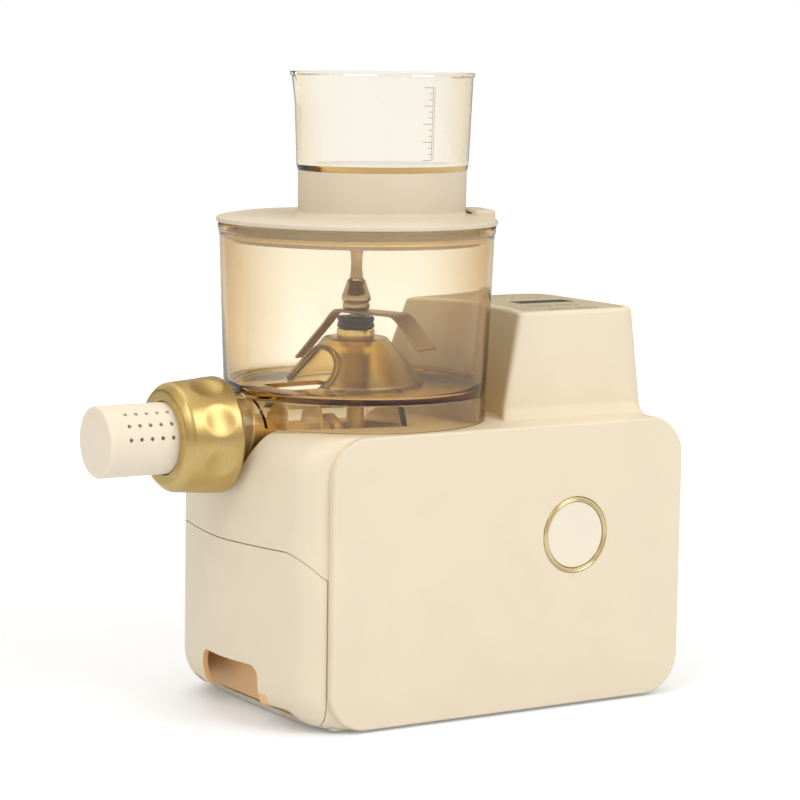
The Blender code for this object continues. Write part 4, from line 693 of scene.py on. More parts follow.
@dataclass(frozen=True)
class MouldedPlastic:
    """Opaque moulded plastic with a fine grain, faint cloudiness and softened edges."""

    name: str
    colour: Colour
    roughness: float = 0.42
    cloud: float = 0.03
    grain: float = 0.12
    edge: float = 0.0006
    coat: float = 0.0
    glow: float = 0.0
    glow_colour: Colour = (1.0, 0.7, 0.45)
    glow_depth: float = 0.003
    cloud_scale: float = 28.0
    matt_scale: float = 90.0
    grain_scale: float = 2600.0
    grain_height: float = 0.00008

    def build(self) -> bpy.types.Material:
        """Return the finish as a material."""
        material, sheet = empty_material(self.name)
        deep = tuple(value * (1 - self.cloud) for value in self.colour)
        clouds = sheet.span(sheet.noise(self.cloud_scale, 4.0), 0.0, 1.0, 0.35, 0.65)
        tone = sheet.blend(clouds, self.colour, deep)
        matt = sheet.span(sheet.noise(self.matt_scale, 2.0), self.roughness - 0.04, self.roughness + 0.05)
        normal = sheet.relief(sheet.noise(self.grain_scale, 2.0), self.grain, self.grain_height, self.edge, 6)
        shader = sheet.add("BsdfPrincipled", base_color=tone, roughness=matt, normal=normal,
                           coat_weight=self.coat, coat_roughness=0.08)
        if self.glow:
            shader.inputs["Subsurface Weight"].default_value = self.glow
            shader.inputs["Subsurface Radius"].default_value = self.glow_colour
            shader.inputs["Subsurface Scale"].default_value = self.glow_depth
        sheet.finish(shader.outputs[0])
        return material


@dataclass(frozen=True)
class ClearPlastic:
    """Clear tinted plastic that deepens where it is thick and lets light through to what is inside."""

    name: str
    tint: Colour = (1.0, 0.985, 0.95)
    rim: Colour = (0.62, 0.40, 0.14)
    absorb: Colour = (0.76, 0.57, 0.10)
    density: float = 80.0
    roughness: float = 0.02
    wave: float = 0.06
    wave_height: float = 0.0004
    wave_scale: float = 55.0
    matt_scale: float = 140.0
    refraction: float = 1.46
    shadow: Colour = (0.99, 0.955, 0.86)

    def build(self) -> bpy.types.Material:
        """Return the finish as a material."""
        material, sheet = empty_material(self.name)
        bump = sheet.add("Bump", strength=self.wave, distance=self.wave_height,
                         height=sheet.noise(self.wave_scale, 2.0))
        matt = sheet.span(sheet.noise(self.matt_scale, 3.0), self.roughness, self.roughness + 0.03, 0.4, 0.7)
        facing = sheet.add("LayerWeight").outputs["Facing"]
        tone = sheet.blend(sheet.span(facing, 0.0, 1.0, 0.10, 0.85), self.tint, self.rim)
        shader = sheet.add("BsdfPrincipled", base_color=tone, roughness=matt, normal=bump.outputs["Normal"],
                           transmission_weight=1.0, ior=self.refraction)
        clear = sheet.add("BsdfTransparent", color=(*self.shadow, 1.0))
        shadow = sheet.add("LightPath").outputs["Is Shadow Ray"]
        mixed = sheet.chain("MixShader", shadow, shader.outputs[0], clear.outputs[0])
        volume = sheet.add("VolumeAbsorption", density=self.density, color=(*self.absorb, 1.0))
        sheet.finish(mixed, volume.outputs[0])
        return material


@dataclass(frozen=True)
class TurnedMetal:
    """Metal with fine streaks that run round an axis, as turning or brushing leaves them."""

    name: str
    colour: Colour
    roughness: float
    axis: Axis = Axis.Z
    place: Point = (0, 0, 0)
    streak: float = 0.25
    edge: float = 0.0003
    streak_scale: float = 3200.0
    streak_height: float = 0.00003
    broad_scale: float = 60.0
    deep_share: float = 0.86

    def build(self) -> bpy.types.Material:
        """Return the finish as a material."""
        material, sheet = empty_material(self.name)
        round_it = sheet.radial(self.axis, (self.place[0] + BOWL_X, self.place[1], self.place[2]))
        streaks, broad = sheet.noise(self.streak_scale, 3.0, round_it, 0.6), sheet.noise(self.broad_scale, 3.0)
        deep = tuple(value * self.deep_share for value in self.colour)
        tone = sheet.blend(sheet.span(streaks, 0.0, 1.0, 0.3, 0.7), self.colour, deep)
        matt = sheet.sum("ADD", sheet.span(streaks, -0.05, 0.07),
                         sheet.span(broad, self.roughness - 0.02, self.roughness + 0.03))
        normal = sheet.relief(streaks, self.streak, self.streak_height, self.edge, 4)
        shader = sheet.add("BsdfPrincipled", base_color=tone, roughness=matt, metallic=1.0, normal=normal)
        sheet.finish(shader.outputs[0])
        return material


@dataclass(frozen=True)
class CircuitBoard:
    """Green board with a faint pattern of tracks."""

    name: str = "board green"

    def build(self) -> bpy.types.Material:
        """Return the finish as a material."""
        material, sheet = empty_material(self.name)
        tracks = sheet.add("TexBrick", vector=sheet.object_coordinates(), scale=180.0,
                           color1=(0.03, 0.20, 0.10, 1),
                           color2=(0.04, 0.26, 0.12, 1), mortar=(0.10, 0.36, 0.18, 1))
        shader = sheet.add("BsdfPrincipled", base_color=tracks.outputs["Color"],
                           roughness=sheet.span(sheet.noise(300.0), 0.35, 0.55))
        sheet.finish(shader.outputs[0])
        return material


@dataclass(frozen=True)
class FloorPaper:
    """White studio paper that shows as white to the camera and keeps the object's shadow."""

    name: str = "studio paper"
    lift: float = 0.17
    far_lift: float = 0.50
    near: float = 0.30
    far: float = 1.10

    def build(self) -> bpy.types.Material:
        """Return the finish as a material."""
        material, sheet = empty_material(self.name)
        tone = sheet.blend(sheet.noise(3.0), (0.84, 0.88, 0.95), (0.845, 0.885, 0.955))
        paper = sheet.add("BsdfDiffuse", color=tone)
        away = sheet.add("VectorMath", operation="LENGTH", vector=sheet.object_coordinates()).outputs["Value"]
        lift = sheet.span(away, self.lift, self.far_lift, self.near, self.far)
        glow = sheet.add("Emission", strength=sheet.sum("MULTIPLY", sheet.seen_directly(), lift))
        sheet.finish(sheet.chain("AddShader", paper.outputs[0], glow.outputs[0]))
        return material


class Coat(Enum):
    """The finishes that this machine's pieces wear."""

    CREAM = MouldedPlastic("cream body", (0.84, 0.745, 0.585))
    # Warm orange painted shade and bounce light for the inside of the drawer's finger notch, not a colour of
    # the plastic.
    NOTCH_PAINTED_SHADE = MouldedPlastic("notch painted shade", (0.95, 0.60, 0.30), glow=0.5)
    # The lid's cream is the body cream darkened: painted shade for the cup's shadow on the lid and its dim
    # grazing top.
    SHADED_LID_CREAM = MouldedPlastic("shaded cream lid", (0.72, 0.635, 0.515), roughness=0.36)
    DIE_WHITE = MouldedPlastic("die white", (0.88, 0.79, 0.66), roughness=0.5, edge=0.0004, glow=0.3)
    BUTTON_CREAM = MouldedPlastic("cream button", (0.88, 0.81, 0.68), roughness=0.36)
    PANEL = MouldedPlastic("panel beige", (0.62, 0.56, 0.38), roughness=0.30, edge=0.0003, grain=0.05)
    MARK = MouldedPlastic("panel marks", (0.26, 0.21, 0.13), roughness=0.4, edge=0.0001, cloud=0.1)
    SCALE = MouldedPlastic("scale print", (0.26, 0.20, 0.12), roughness=0.5, edge=0.0001, cloud=0.1)
    DISPLAY = MouldedPlastic("display black", (0.035, 0.022, 0.018), roughness=0.12, edge=0.0002, grain=0.02,
                             coat=0.6)
    BLACK = MouldedPlastic("black plastic", (0.03, 0.022, 0.018), roughness=0.4, edge=0.0003, cloud=0.2)
    RUBBER = MouldedPlastic("soft rubber", (0.66, 0.59, 0.48), roughness=0.75, cloud=0.08, grain=0.3)
    GASKET = MouldedPlastic("warm gasket", (0.86, 0.70, 0.50), roughness=0.5, cloud=0.05, glow=0.3)
    AMBER = ClearPlastic("amber clear")
    CUP_AMBER = ClearPlastic("cup clear", rim=(0.90, 0.80, 0.62), density=30.0)
    DEEP_AMBER = ClearPlastic("cone amber", (1.0, 0.84, 0.44), (0.86, 0.58, 0.17), density=60.0, roughness=0.24)
    LIP_AMBER = ClearPlastic("arch amber", (1.0, 0.88, 0.55), (0.88, 0.62, 0.24), density=40.0, roughness=0.10)
    GOLD = TurnedMetal("satin gold", (0.66, 0.49, 0.20), 0.36, Axis.X, EXTRUDER_LINE)
    BUTTON_GOLD = TurnedMetal("button gold", (0.86, 0.70, 0.38), 0.22, Axis.Y,
                              (BUTTON_PLACE[0], 0, BUTTON_PLACE[2]))
    COLLAR_GOLD = TurnedMetal("collar gold", (0.74, 0.55, 0.22), 0.25)
    CHROME = TurnedMetal("spindle chrome", (0.44, 0.31, 0.19), 0.07, streak=0.08)
    BRONZE = TurnedMetal("blade bronze", (0.42, 0.27, 0.155), 0.32)
    STEEL = TurnedMetal("machined steel", (0.60, 0.58, 0.55), 0.34)
    AUGER_STEEL = TurnedMetal("bright steel", (0.90, 0.72, 0.42), 0.55)
    PALE_GOLD = TurnedMetal("pale gold", (0.90, 0.76, 0.46), 0.50)
    BOARD = CircuitBoard()
    PAPER = FloorPaper()

    def material(self) -> bpy.types.Material:
        """Return the coat's material, built on its first use."""
        found = bpy.data.materials.get(self.value.name)
        return found or self.value.build()


def dressed(item: bpy.types.Object, coat: Coat, body: str, nodes: Sequence[str] = (),
            angle: float = 35.0) -> bpy.types.Object:
    """Give a finished piece its material, its body and the CAD nodes that it stands for.

    Args:
        item: The piece.
        coat: Its finish.
        body: The body it moves with.
        nodes: The CAD nodes that it replaces.
        angle: Edges sharper than this stay sharp, in degrees.

    Returns:
        The piece.
    """
    item.data.transform(Matrix.Translation((BOWL_X, 0, 0)))
    item.data.materials.clear()
    item.data.materials.append(coat.material())
    item.data.shade_smooth()
    item.data.set_sharp_from_angle(angle=math.radians(angle))
    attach(item, body)
    if nodes:
        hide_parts(*nodes)
    LOG.info("%s: %d faces on %s", item.name, len(item.data.polygons), body)
    return item


def coat_nodes(frame: dict[str, Any], coat: Coat, *names: str) -> None:
    """Put a finish on CAD nodes that stay as they are.

    Args:
        frame: The loaded frame.
        coat: The finish.
        names: The nodes.
    """
    for name in names:
        node = frame["nodes"][name]
        node.data.materials.clear()
        node.data.materials.append(coat.material())
        LOG.info("%s: kept, %s", name, coat.value.name)


# ---- The machine's own shapes ----


@dataclass
class BodyForm:
    """Sizes and sections that the housing, the plates, the drawer and the panel share."""

    plate_left: float = -0.0550
    plate_right: float = 0.1630
    plate_corner: float = 0.0210
    plate_edge: float = 0.0014
    plate_face: float = 0.0720
    core_half: float = 0.0677
    low: float = 0.0015
    high: float = 0.1515
    end_bulge: float = 0.0252
    end_corner: float = 0.0125
    end_crown: float = 0.0132
    rear_bulge: float = 0.0050
    core_corner: float = 0.0230
    wall: float = 0.0025
    tower_top: float = 0.2073
    tower_front: float = -0.0440
    tower_back: float = 0.0605
    tower_right: float = 0.1612
    tower_draft: float = 0.0040
    foot_flare: float = 0.0055
    foot_rise: float = 0.0070
    cup_radius: float = 0.0780
    cup_lean: float = 0.0075
    broad_corner: float = 0.0170
    nose_corner: float = 0.0065
    top_edge: float = 0.0024
    tower_root: float = 0.0200
    trough_radius: float = 0.0230
    trough_end: float = 0.0218
    drawer_top: float = 0.0936
    drawer_corner: float = 0.0170

    @property
    def front(self) -> float:
        """Where cutters start, past the end with the drawer."""
        return self.plate_left - self.end_bulge - OVERRUN

    def end_reach(self, across: float, half: float, bulge: float, corner: float, crown: float) -> float:
        """Return how far an end stands out past the plates.

        Args:
            across: Distance from the middle plane.
            half: Half the core's depth.
            bulge: How far the end stands out at its middle.
            corner: The rounding at its sides.
            crown: How much it falls back toward the sides.

        Returns:
            The reach.
        """
        inset = half - abs(across)
        reach = bulge - crown * (abs(across) / half) ** 1.5
        if inset < corner:
            reach -= (bulge - crown) * (1 - math.sqrt(max(0.0, 1 - (1 - inset / corner) ** 2)))
        return reach

    def core_rings(self, inset: float) -> list[list[Point]]:
        """List the core's upright sections from front to back.

        Args:
            inset: How far they are drawn in, 0 for the outside.

        Returns:
            The sections.
        """
        half, corner = self.core_half - inset, self.end_corner - inset
        stations = [-half + corner * (1 - math.cos(math.radians(90 * step / 14))) for step in range(15)]
        stations += [-(half - corner) * (1 - step / 16) for step in range(1, 17)]
        stations += [-station for station in reversed(stations[:-1])]
        rings = []
        for across in stations:
            reach = self.end_reach(across, half, self.end_bulge, corner, self.end_crown)
            rear = self.end_reach(across, half, self.rear_bulge, self.rear_bulge, 0)
            outline = rounded_rectangle(self.plate_left - reach + inset, self.plate_right + rear - inset,
                                        self.low + inset, self.high - inset, self.core_corner - inset, 16)
            rings.append([(x, across, z) for x, z in outline])
        return rings

    def tower_outline(self, rise_share: float, flare: float, inset: float) -> list[Flat]:
        """List the tower's level outline at a share of its rise.

        Args:
            rise_share: The share of the rise, 0 at the foot and 1 at the top.
            flare: How far it flares out at its foot.
            inset: How far it is drawn in.

        Returns:
            The outline's points.
        """
        draft = self.tower_draft * rise_share
        cup = self.cup_radius + self.cup_lean * rise_share + inset
        front = self.tower_front + draft + inset - flare
        back = self.tower_back - draft - inset + flare
        right = self.tower_right - draft - inset + flare
        left_front = (math.sqrt(cup ** 2 - front ** 2), front)
        left_back = (math.sqrt(cup ** 2 - back ** 2), back)
        first = math.degrees(math.atan2(back, left_back[0]))
        last = math.degrees(math.atan2(front, left_front[0]))
        hollow = arc((0, 0), cup, first, last, 40)[4:-4]
        corners = [left_front, (right, front), (right, back), left_back] + hollow
        broad = self.broad_corner - inset
        radii = [self.nose_corner, broad, broad, self.nose_corner] + [0.0] * len(hollow)
        return softened(corners, radii, 12)

    def shoulder_drop(self, x: float) -> float:
        """Return how far the core's top has curved down at a place along X."""
        beyond = min(max(0.0, x - (self.plate_right + self.rear_bulge - self.core_corner)), self.core_corner)
        return self.core_corner - math.sqrt(self.core_corner ** 2 - beyond ** 2)

    def tower_rings(self, inset: float) -> list[list[Point]]:
        """List the tower's sections from inside the core, over its foot's fillet, to the top.

        Args:
            inset: How far they are drawn in, 0 for the outside.

        Returns:
            The sections.
        """
        feet = [(-self.tower_root, self.foot_flare)]
        feet += [(self.foot_rise * step / 10, self.foot_flare * (1 - step / 10) ** 2) for step in range(11)]
        rings = [[(x, y, self.high + lift - self.shoulder_drop(x))
                  for x, y in self.tower_outline(0, flare, inset)]
                 for lift, flare in feet]
        for edge, drop in rounding(self.top_edge, 6):
            rings.append([(x, y, self.tower_top - inset - drop)
                          for x, y in self.tower_outline(1, 0, inset + edge)])
        return rings

    def drawer_block(self, seam: float, back: float) -> bpy.types.Object:
        """Make the block, round at its upper corners, that parts the drawer from the housing."""
        half, top, radius = self.core_half + GAP, self.drawer_top - seam, self.drawer_corner
        outline = arc((half - radius, top - radius), radius, 0, 90, 12)
        outline += arc((-half + radius, top - radius), radius, 90, 180, 12)
        outline += [(-half, -OVERRUN), (half, -OVERRUN)]
        return prism("drawer_block", outline, Axis.X, (self.front, back))


@dataclass
class Housing:
    """The core and tower shell, its side plates, base, feet and screws."""

    form: BodyForm
    button: Point = BUTTON_PLACE
    stem_radius: float = 0.0047
    ring_radius: float = BUTTON_RADIUS
    inlet: tuple[float, float, float] = (0.0266, 0.0196, 0.0380)
    foot_places: tuple[Flat, ...] = ((-0.0160, -0.056), (-0.0160, 0.056), (0.1305, -0.056), (0.1305, 0.056))
    screw_places: tuple[Flat, ...] = ((0.012, -0.060), (0.012, 0.060), (0.112, -0.060), (0.112, 0.060))

    def shell(self) -> bpy.types.Object:
        """Build the core and tower in one shell with its trough, bay and openings."""
        form = self.form
        front = form.front
        shell = loft("housing_shell", form.core_rings(0))
        combine(shell, Way.JOIN, loft("tower", form.tower_rings(0)))
        cavity = loft("cavity", form.core_rings(form.wall))
        combine(cavity, Way.CUT, rod("liner", (front, 0, AXIS_Z), (form.trough_end + form.wall, 0, AXIS_Z),
                                     form.trough_radius + form.wall, 63))
        roof = form.core_half - form.wall
        combine(shell, Way.CUT, cavity, loft("tower_cavity", form.tower_rings(form.wall)),
                box("bottom", (-0.0503, -roof, -0.003), (0.1353, roof, 0.0048)))
        combine(shell, Way.CUT, rod("trough", (front, 0, AXIS_Z), (form.trough_end, 0, AXIS_Z),
                                    form.trough_radius, 97),
                rod("pocket", (0, 0, 0.0997), (0, 0, AXIS_Z), 0.0118, 41))
        combine(shell, Way.CUT, form.drawer_block(0, form.plate_left))
        recess = prism("recess", form.tower_outline(1, 0, form.top_edge + 0.0020), Axis.Z,
                       (form.tower_top - 0.0015, form.tower_top + OVERRUN))
        width, height, middle = self.inlet
        combine(shell, Way.CUT, recess,
                rod("stem_hole", (self.button[0], -0.073, self.button[2]),
                    (self.button[0], -0.060, self.button[2]), self.stem_radius, 37),
                box("inlet_hole", (0.150, -width / 2, middle - height / 2),
                    (0.175, width / 2, middle + height / 2)))
        return dressed(shell, Coat.CREAM, "base", ["housing"], 28)

    def plate_rings(self, outer: float, inner: float) -> list[list[Point]]:
        """List a plate's sections from its outer face to its inner face.

        Args:
            outer: Where the outer face lies along Y.
            inner: Where the inner face lies.

        Returns:
            The sections.
        """
        form = self.form
        way = 1 if inner > outer else -1
        rings = []
        for depth, inset in rounding(form.plate_edge, 6) + [(None, 0.0)]:
            outline = rounded_rectangle(form.plate_left + inset, form.plate_right - inset, form.low + inset,
                                        form.high - inset, form.plate_corner - inset, 24)
            place = inner if depth is None else outer + way * depth
            rings.append([(x, place, z) for x, z in outline])
        return rings

    def plates(self) -> None:
        """Build the front plate with the button's bore and the back plate."""
        form, seam = self.form, 0.00002
        x, _, z = self.button
        front = loft("front_skin", self.plate_rings(-form.plate_face, -form.core_half - seam))
        bore = rod("bore", (x, -form.plate_face - OVERRUN, z), (x, -0.064, z), self.ring_radius + GAP, 127)
        combine(front, Way.CUT, bore)
        dressed(front, Coat.CREAM, "base", ["front_plate"], 28)
        back = loft("back_skin", self.plate_rings(form.plate_face, form.core_half + seam))
        dressed(back, Coat.CREAM, "base", ["back_plate"], 28)

    def feet(self) -> None:
        """Build the four rubber feet with rounded rims and small grip ribs."""
        carrier = points_object("feet_places", [(x, y, 0.0) for x, y in self.foot_places])
        sheet = GeometrySheet("foot pads", {"Length": 0.036, "Width": 0.012, "Height": 0.0012, "Corner": 0.0055,
                                            "Rib Count": 9, "Rib Pitch": 0.0032, "Rib Width": 0.0012,
                                            "Rib Height": 0.0006, "First Rib": -0.0128, "Rib Level": 0.0003})
        height, width = sheet.size("Height"), sheet.size("Width")
        outline = sheet.add("CurvePrimitiveQuadrilateral", {"Width": sheet.size("Length"), "Height": width})
        soft = sheet.add("FilletCurve", {"Curve": outline, "Radius": sheet.size("Corner"), "Count": 10},
                         mode="POLY")
        thick = sheet.add("ExtrudeMesh", {"Mesh": sheet.add("FillCurve", {"Curve": soft}), "Individual": False,
                                          "Offset Scale": sheet.sum("MULTIPLY", height, 0.8)})
        pad = sheet.moved(thick, sheet.vector(0, 0, sheet.sum("MULTIPLY", height, 0.2)))
        rib_length = sheet.sum("MULTIPLY", width, 0.7)
        rib = sheet.add("MeshCube", {"Size": sheet.vector(sheet.size("Rib Width"), rib_length,
                                                          sheet.size("Rib Height"))})
        line = sheet.add("MeshLine", {"Count": sheet.size("Rib Count"),
                                      "Start Location": sheet.vector(sheet.size("First Rib"), 0,
                                                                     sheet.size("Rib Level")),
                                      "Offset": sheet.vector(sheet.size("Rib Pitch"), 0, 0)})
        whole = sheet.join(pad, sheet.copies(line, rib))
        feet = sheet.baked("foot_pads", sheet.copies(sheet.mesh, whole), Coat.RUBBER, carrier)
        dressed(feet, Coat.RUBBER, "base", [f"foot_{number}" for number in range(1, 5)], 30)

    def screws(self) -> None:
        """Build the base screws with cross recesses in their heads."""
        carrier = points_object("screw_places", [(x, y, 0.0015) for x, y in self.screw_places])
        sheet = GeometrySheet("base screws", {"Head Radius": 0.0030, "Head Height": 0.0016,
                                              "Shank Radius": 0.0016,
                                              "Shank Length": 0.0134, "Slot Width": 0.0007,
                                              "Slot Depth": 0.0018})
        radius, height, length = (sheet.size(title) for title in ("Head Radius", "Head Height", "Shank Length"))
        head = sheet.add("MeshCylinder", {"Vertices": 32, "Radius": radius, "Depth": height})
        head = sheet.moved(head, sheet.vector(0, 0, sheet.sum("DIVIDE", height, 2.0)))
        sides = (sheet.sum("MULTIPLY", radius, 1.2), sheet.size("Slot Width"))
        bars = [sheet.add("MeshCube", {"Size": sheet.vector(*pair, sheet.size("Slot Depth"))})
                for pair in (sides[::-1], sides)]
        cut = sheet.add("MeshBoolean", {0: head, 1: sheet.join(*bars)}, operation="DIFFERENCE", solver="EXACT")
        shank = sheet.add("MeshCylinder", {"Vertices": 20, "Radius": sheet.size("Shank Radius"),
                                           "Depth": length})
        lift = sheet.sum("ADD", height, sheet.sum("DIVIDE", length, 2.0))
        screw = sheet.join(cut, sheet.moved(shank, sheet.vector(0, 0, lift)))
        screws = sheet.baked("base_screws", sheet.copies(sheet.mesh, screw), Coat.STEEL, carrier)
        dressed(screws, Coat.STEEL, "base", [f"base_screw_{number}" for number in range(1, 5)], 30)

    def build(self, frame: dict[str, Any]) -> None:
        """Build and dress the housing's pieces.

        Args:
            frame: The loaded frame.
        """
        self.shell()
        self.plates()
        self.feet()
        self.screws()
        coat_nodes(frame, Coat.CREAM, "base_plate")
        coat_nodes(frame, Coat.BLACK, "power_inlet")


def points_object(name: str, places: Sequence[Point]) -> bpy.types.Object:
    """Make a mesh of loose points, on which a tree places pieces."""
    mesh = bpy.data.meshes.new(name)
    mesh.from_pydata(list(places), [], [])
    return linked(name, mesh)


@dataclass
class ControlPanel:
    """The panel on the tower's top with its display, key outlines and small marks."""

    form: BodyForm
    display: tuple[float, float, float, float] = (0.10705, 0.14295, 0.0023, 0.0157)
    key_first: Flat = (0.1095, -0.0115)
    key_step: Flat = (0.0180, -0.0185)
    key_size: Flat = (0.0140, 0.0090)

    @property
    def top(self) -> float:
        """The panel's height, flush with the tower."""
        return self.form.tower_top

    def key_places(self) -> list[Flat]:
        """List the middles of the four keys."""
        (x, y), (across, along) = self.key_first, self.key_step
        return [(x + column * across, y + row * along) for column in range(2) for row in range(2)]

    def plate(self) -> None:
        """Build the panel with pockets for the display and the keys."""
        form = self.form
        outline = form.tower_outline(1, 0, form.top_edge + 0.0023)
        panel = slab("panel_plate", outline, self.top - 0.0012, self.top, 0.0002)
        low_x, high_x, low_y, high_y = self.display
        above = 0.21
        pockets = [box("pocket", (low_x - GAP, low_y - GAP, self.top - 0.0011),
                       (high_x + GAP, high_y + GAP, above))]
        half_x, half_y = self.key_size[0] / 2, self.key_size[1] / 2
        for x, y in self.key_places():
            shape = rounded_rectangle(x - half_x, x + half_x, y - half_y, y + half_y, half_y - GAP, 10)
            pockets.append(prism("pocket", shape, Axis.Z, (self.top - 0.0009, above)))
        combine(panel, Way.CUT, *pockets)
        dressed(panel, Coat.PANEL, "base", ["control_panel"], 30)

    def window(self) -> None:
        """Build the glossy display with a softened edge."""
        low_x, high_x, low_y, high_y = self.display
        outline = rounded_rectangle(low_x, high_x, low_y, high_y, 0.0008, 6)
        window = slab("display_glass", outline, self.top - 0.0008, self.top, 0.00025)
        dressed(window, Coat.DISPLAY, "base", ["display_window"], 30)

    def outlines(self) -> None:
        """Print the four keys' rounded outlines with a dash and a dot in each."""
        inset = 0.0016
        places = [(x, y, self.top + PRINT_LIFT) for x, y in self.key_places()]
        sheet = GeometrySheet("key outlines", {"Length": self.key_size[0] - inset,
                                               "Width": self.key_size[1] - inset,
                                               "Line": 0.00042, "Dash": 0.0052, "Dash Width": 0.0011,
                                               "Dot Radius": 0.0008, "Dot Place": -0.0042})
        width = sheet.size("Width")
        outline = sheet.add("CurvePrimitiveQuadrilateral", {"Width": sheet.size("Length"), "Height": width})
        soft = sheet.add("FilletCurve", {"Curve": outline, "Count": 10,
                                         "Radius": sheet.sum("MULTIPLY", width, 0.49)},
                         mode="POLY")
        line = sheet.add("CurvePrimitiveQuadrilateral", {"Width": sheet.size("Line"), "Height": PRINT_DEPTH})
        ring = sheet.add("CurveToMesh", {"Curve": soft, "Profile Curve": line, "Fill Caps": True})
        dash = sheet.add("MeshCube", {"Size": sheet.vector(sheet.size("Dash"), sheet.size("Dash Width"),
                                                           PRINT_DEPTH)})
        dot = sheet.add("MeshCylinder", {"Vertices": 20, "Radius": sheet.size("Dot Radius"),
                                         "Depth": PRINT_DEPTH})
        whole = sheet.join(ring, dash, sheet.moved(dot, sheet.vector(sheet.size("Dot Place"), 0, 0)))
        marks = sheet.baked("key_outlines", sheet.copies(sheet.mesh, whole), Coat.MARK,
                            points_object("keys", places))
        dressed(marks, Coat.MARK, "base")

    def marks(self) -> None:
        """Print the row of small level marks behind the display."""
        sheet = GeometrySheet("level marks", {"Count": 7, "Pitch": 0.0058, "Length": 0.0034, "Line": 0.0009,
                                              "Dot Radius": 0.0009, "Dot Rise": 0.0065})
        line = sheet.add("MeshLine", {"Count": sheet.size("Count"),
                                      "Start Location": (0.1040, 0.0250, self.top + PRINT_LIFT),
                                      "Offset": sheet.vector(sheet.size("Pitch"), 0, 0)})
        bar = sheet.add("MeshCube", {"Size": sheet.vector(sheet.size("Length"), sheet.size("Line"),
                                                          PRINT_DEPTH)})
        dot = sheet.add("MeshCylinder", {"Vertices": 16, "Radius": sheet.size("Dot Radius"),
                                         "Depth": PRINT_DEPTH})
        above = sheet.moved(line, sheet.vector(0, sheet.size("Dot Rise"), 0))
        both = sheet.join(sheet.copies(line, bar), sheet.copies(above, dot))
        dressed(sheet.baked("level_marks", both, Coat.MARK), Coat.MARK, "base")

    def build(self, frame: dict[str, Any]) -> None:
        """Build and dress the panel's pieces.

        Args:
            frame: The loaded frame.
        """
        self.plate()
        self.window()
        self.outlines()
        self.marks()
        coat_nodes(frame, Coat.PANEL, "touch_key_1", "touch_key_2", "touch_key_3", "touch_key_4")
        coat_nodes(frame, Coat.BOARD, "control_board", "power_board")


@dataclass
class PushButton:
    """The round button: a gold ring with two beads, a faintly domed cap and its stem."""

    place: Point = BUTTON_PLACE
    radius: float = BUTTON_RADIUS
    width: float = 0.0023
    depth: float = 0.0040
    stem: float = 0.0035

    def build(self, frame: dict[str, Any]) -> None:
        """Build and dress the button's pieces.

        Args:
            frame: The loaded frame.
        """
        inner = self.radius - self.width
        ring = section([(inner, self.depth, 0), (inner, -0.0002, 0.0002), (inner + 0.0006, -0.0004, 0.0003),
                        (inner + 0.0012, 0.0001, 0.0003), (self.radius - 0.0005, -0.0004, 0.0003),
                        (self.radius, -0.0001, 0.0002), (self.radius, self.depth, 0)])
        dressed(turned("button_ring_gold", ring, 160, Axis.Y, self.place), Coat.BUTTON_GOLD, "base",
                ["button_ring"])
        cap = inner - GAP
        face = section([(0, 0.0078, 0), (self.stem, 0.0078, 0), (self.stem, 0.0026, 0), (cap, 0.0026, 0),
                        (cap, 0.0001, 0.0004), (cap * 0.6, 0.0003, 0.004), (0, 0.0004, 0)])
        dressed(turned("button_face", face, 160, Axis.Y, self.place), Coat.BUTTON_CREAM, "button",
                ["button_cap"])
        coat_nodes(frame, Coat.BLACK, "button_switch")


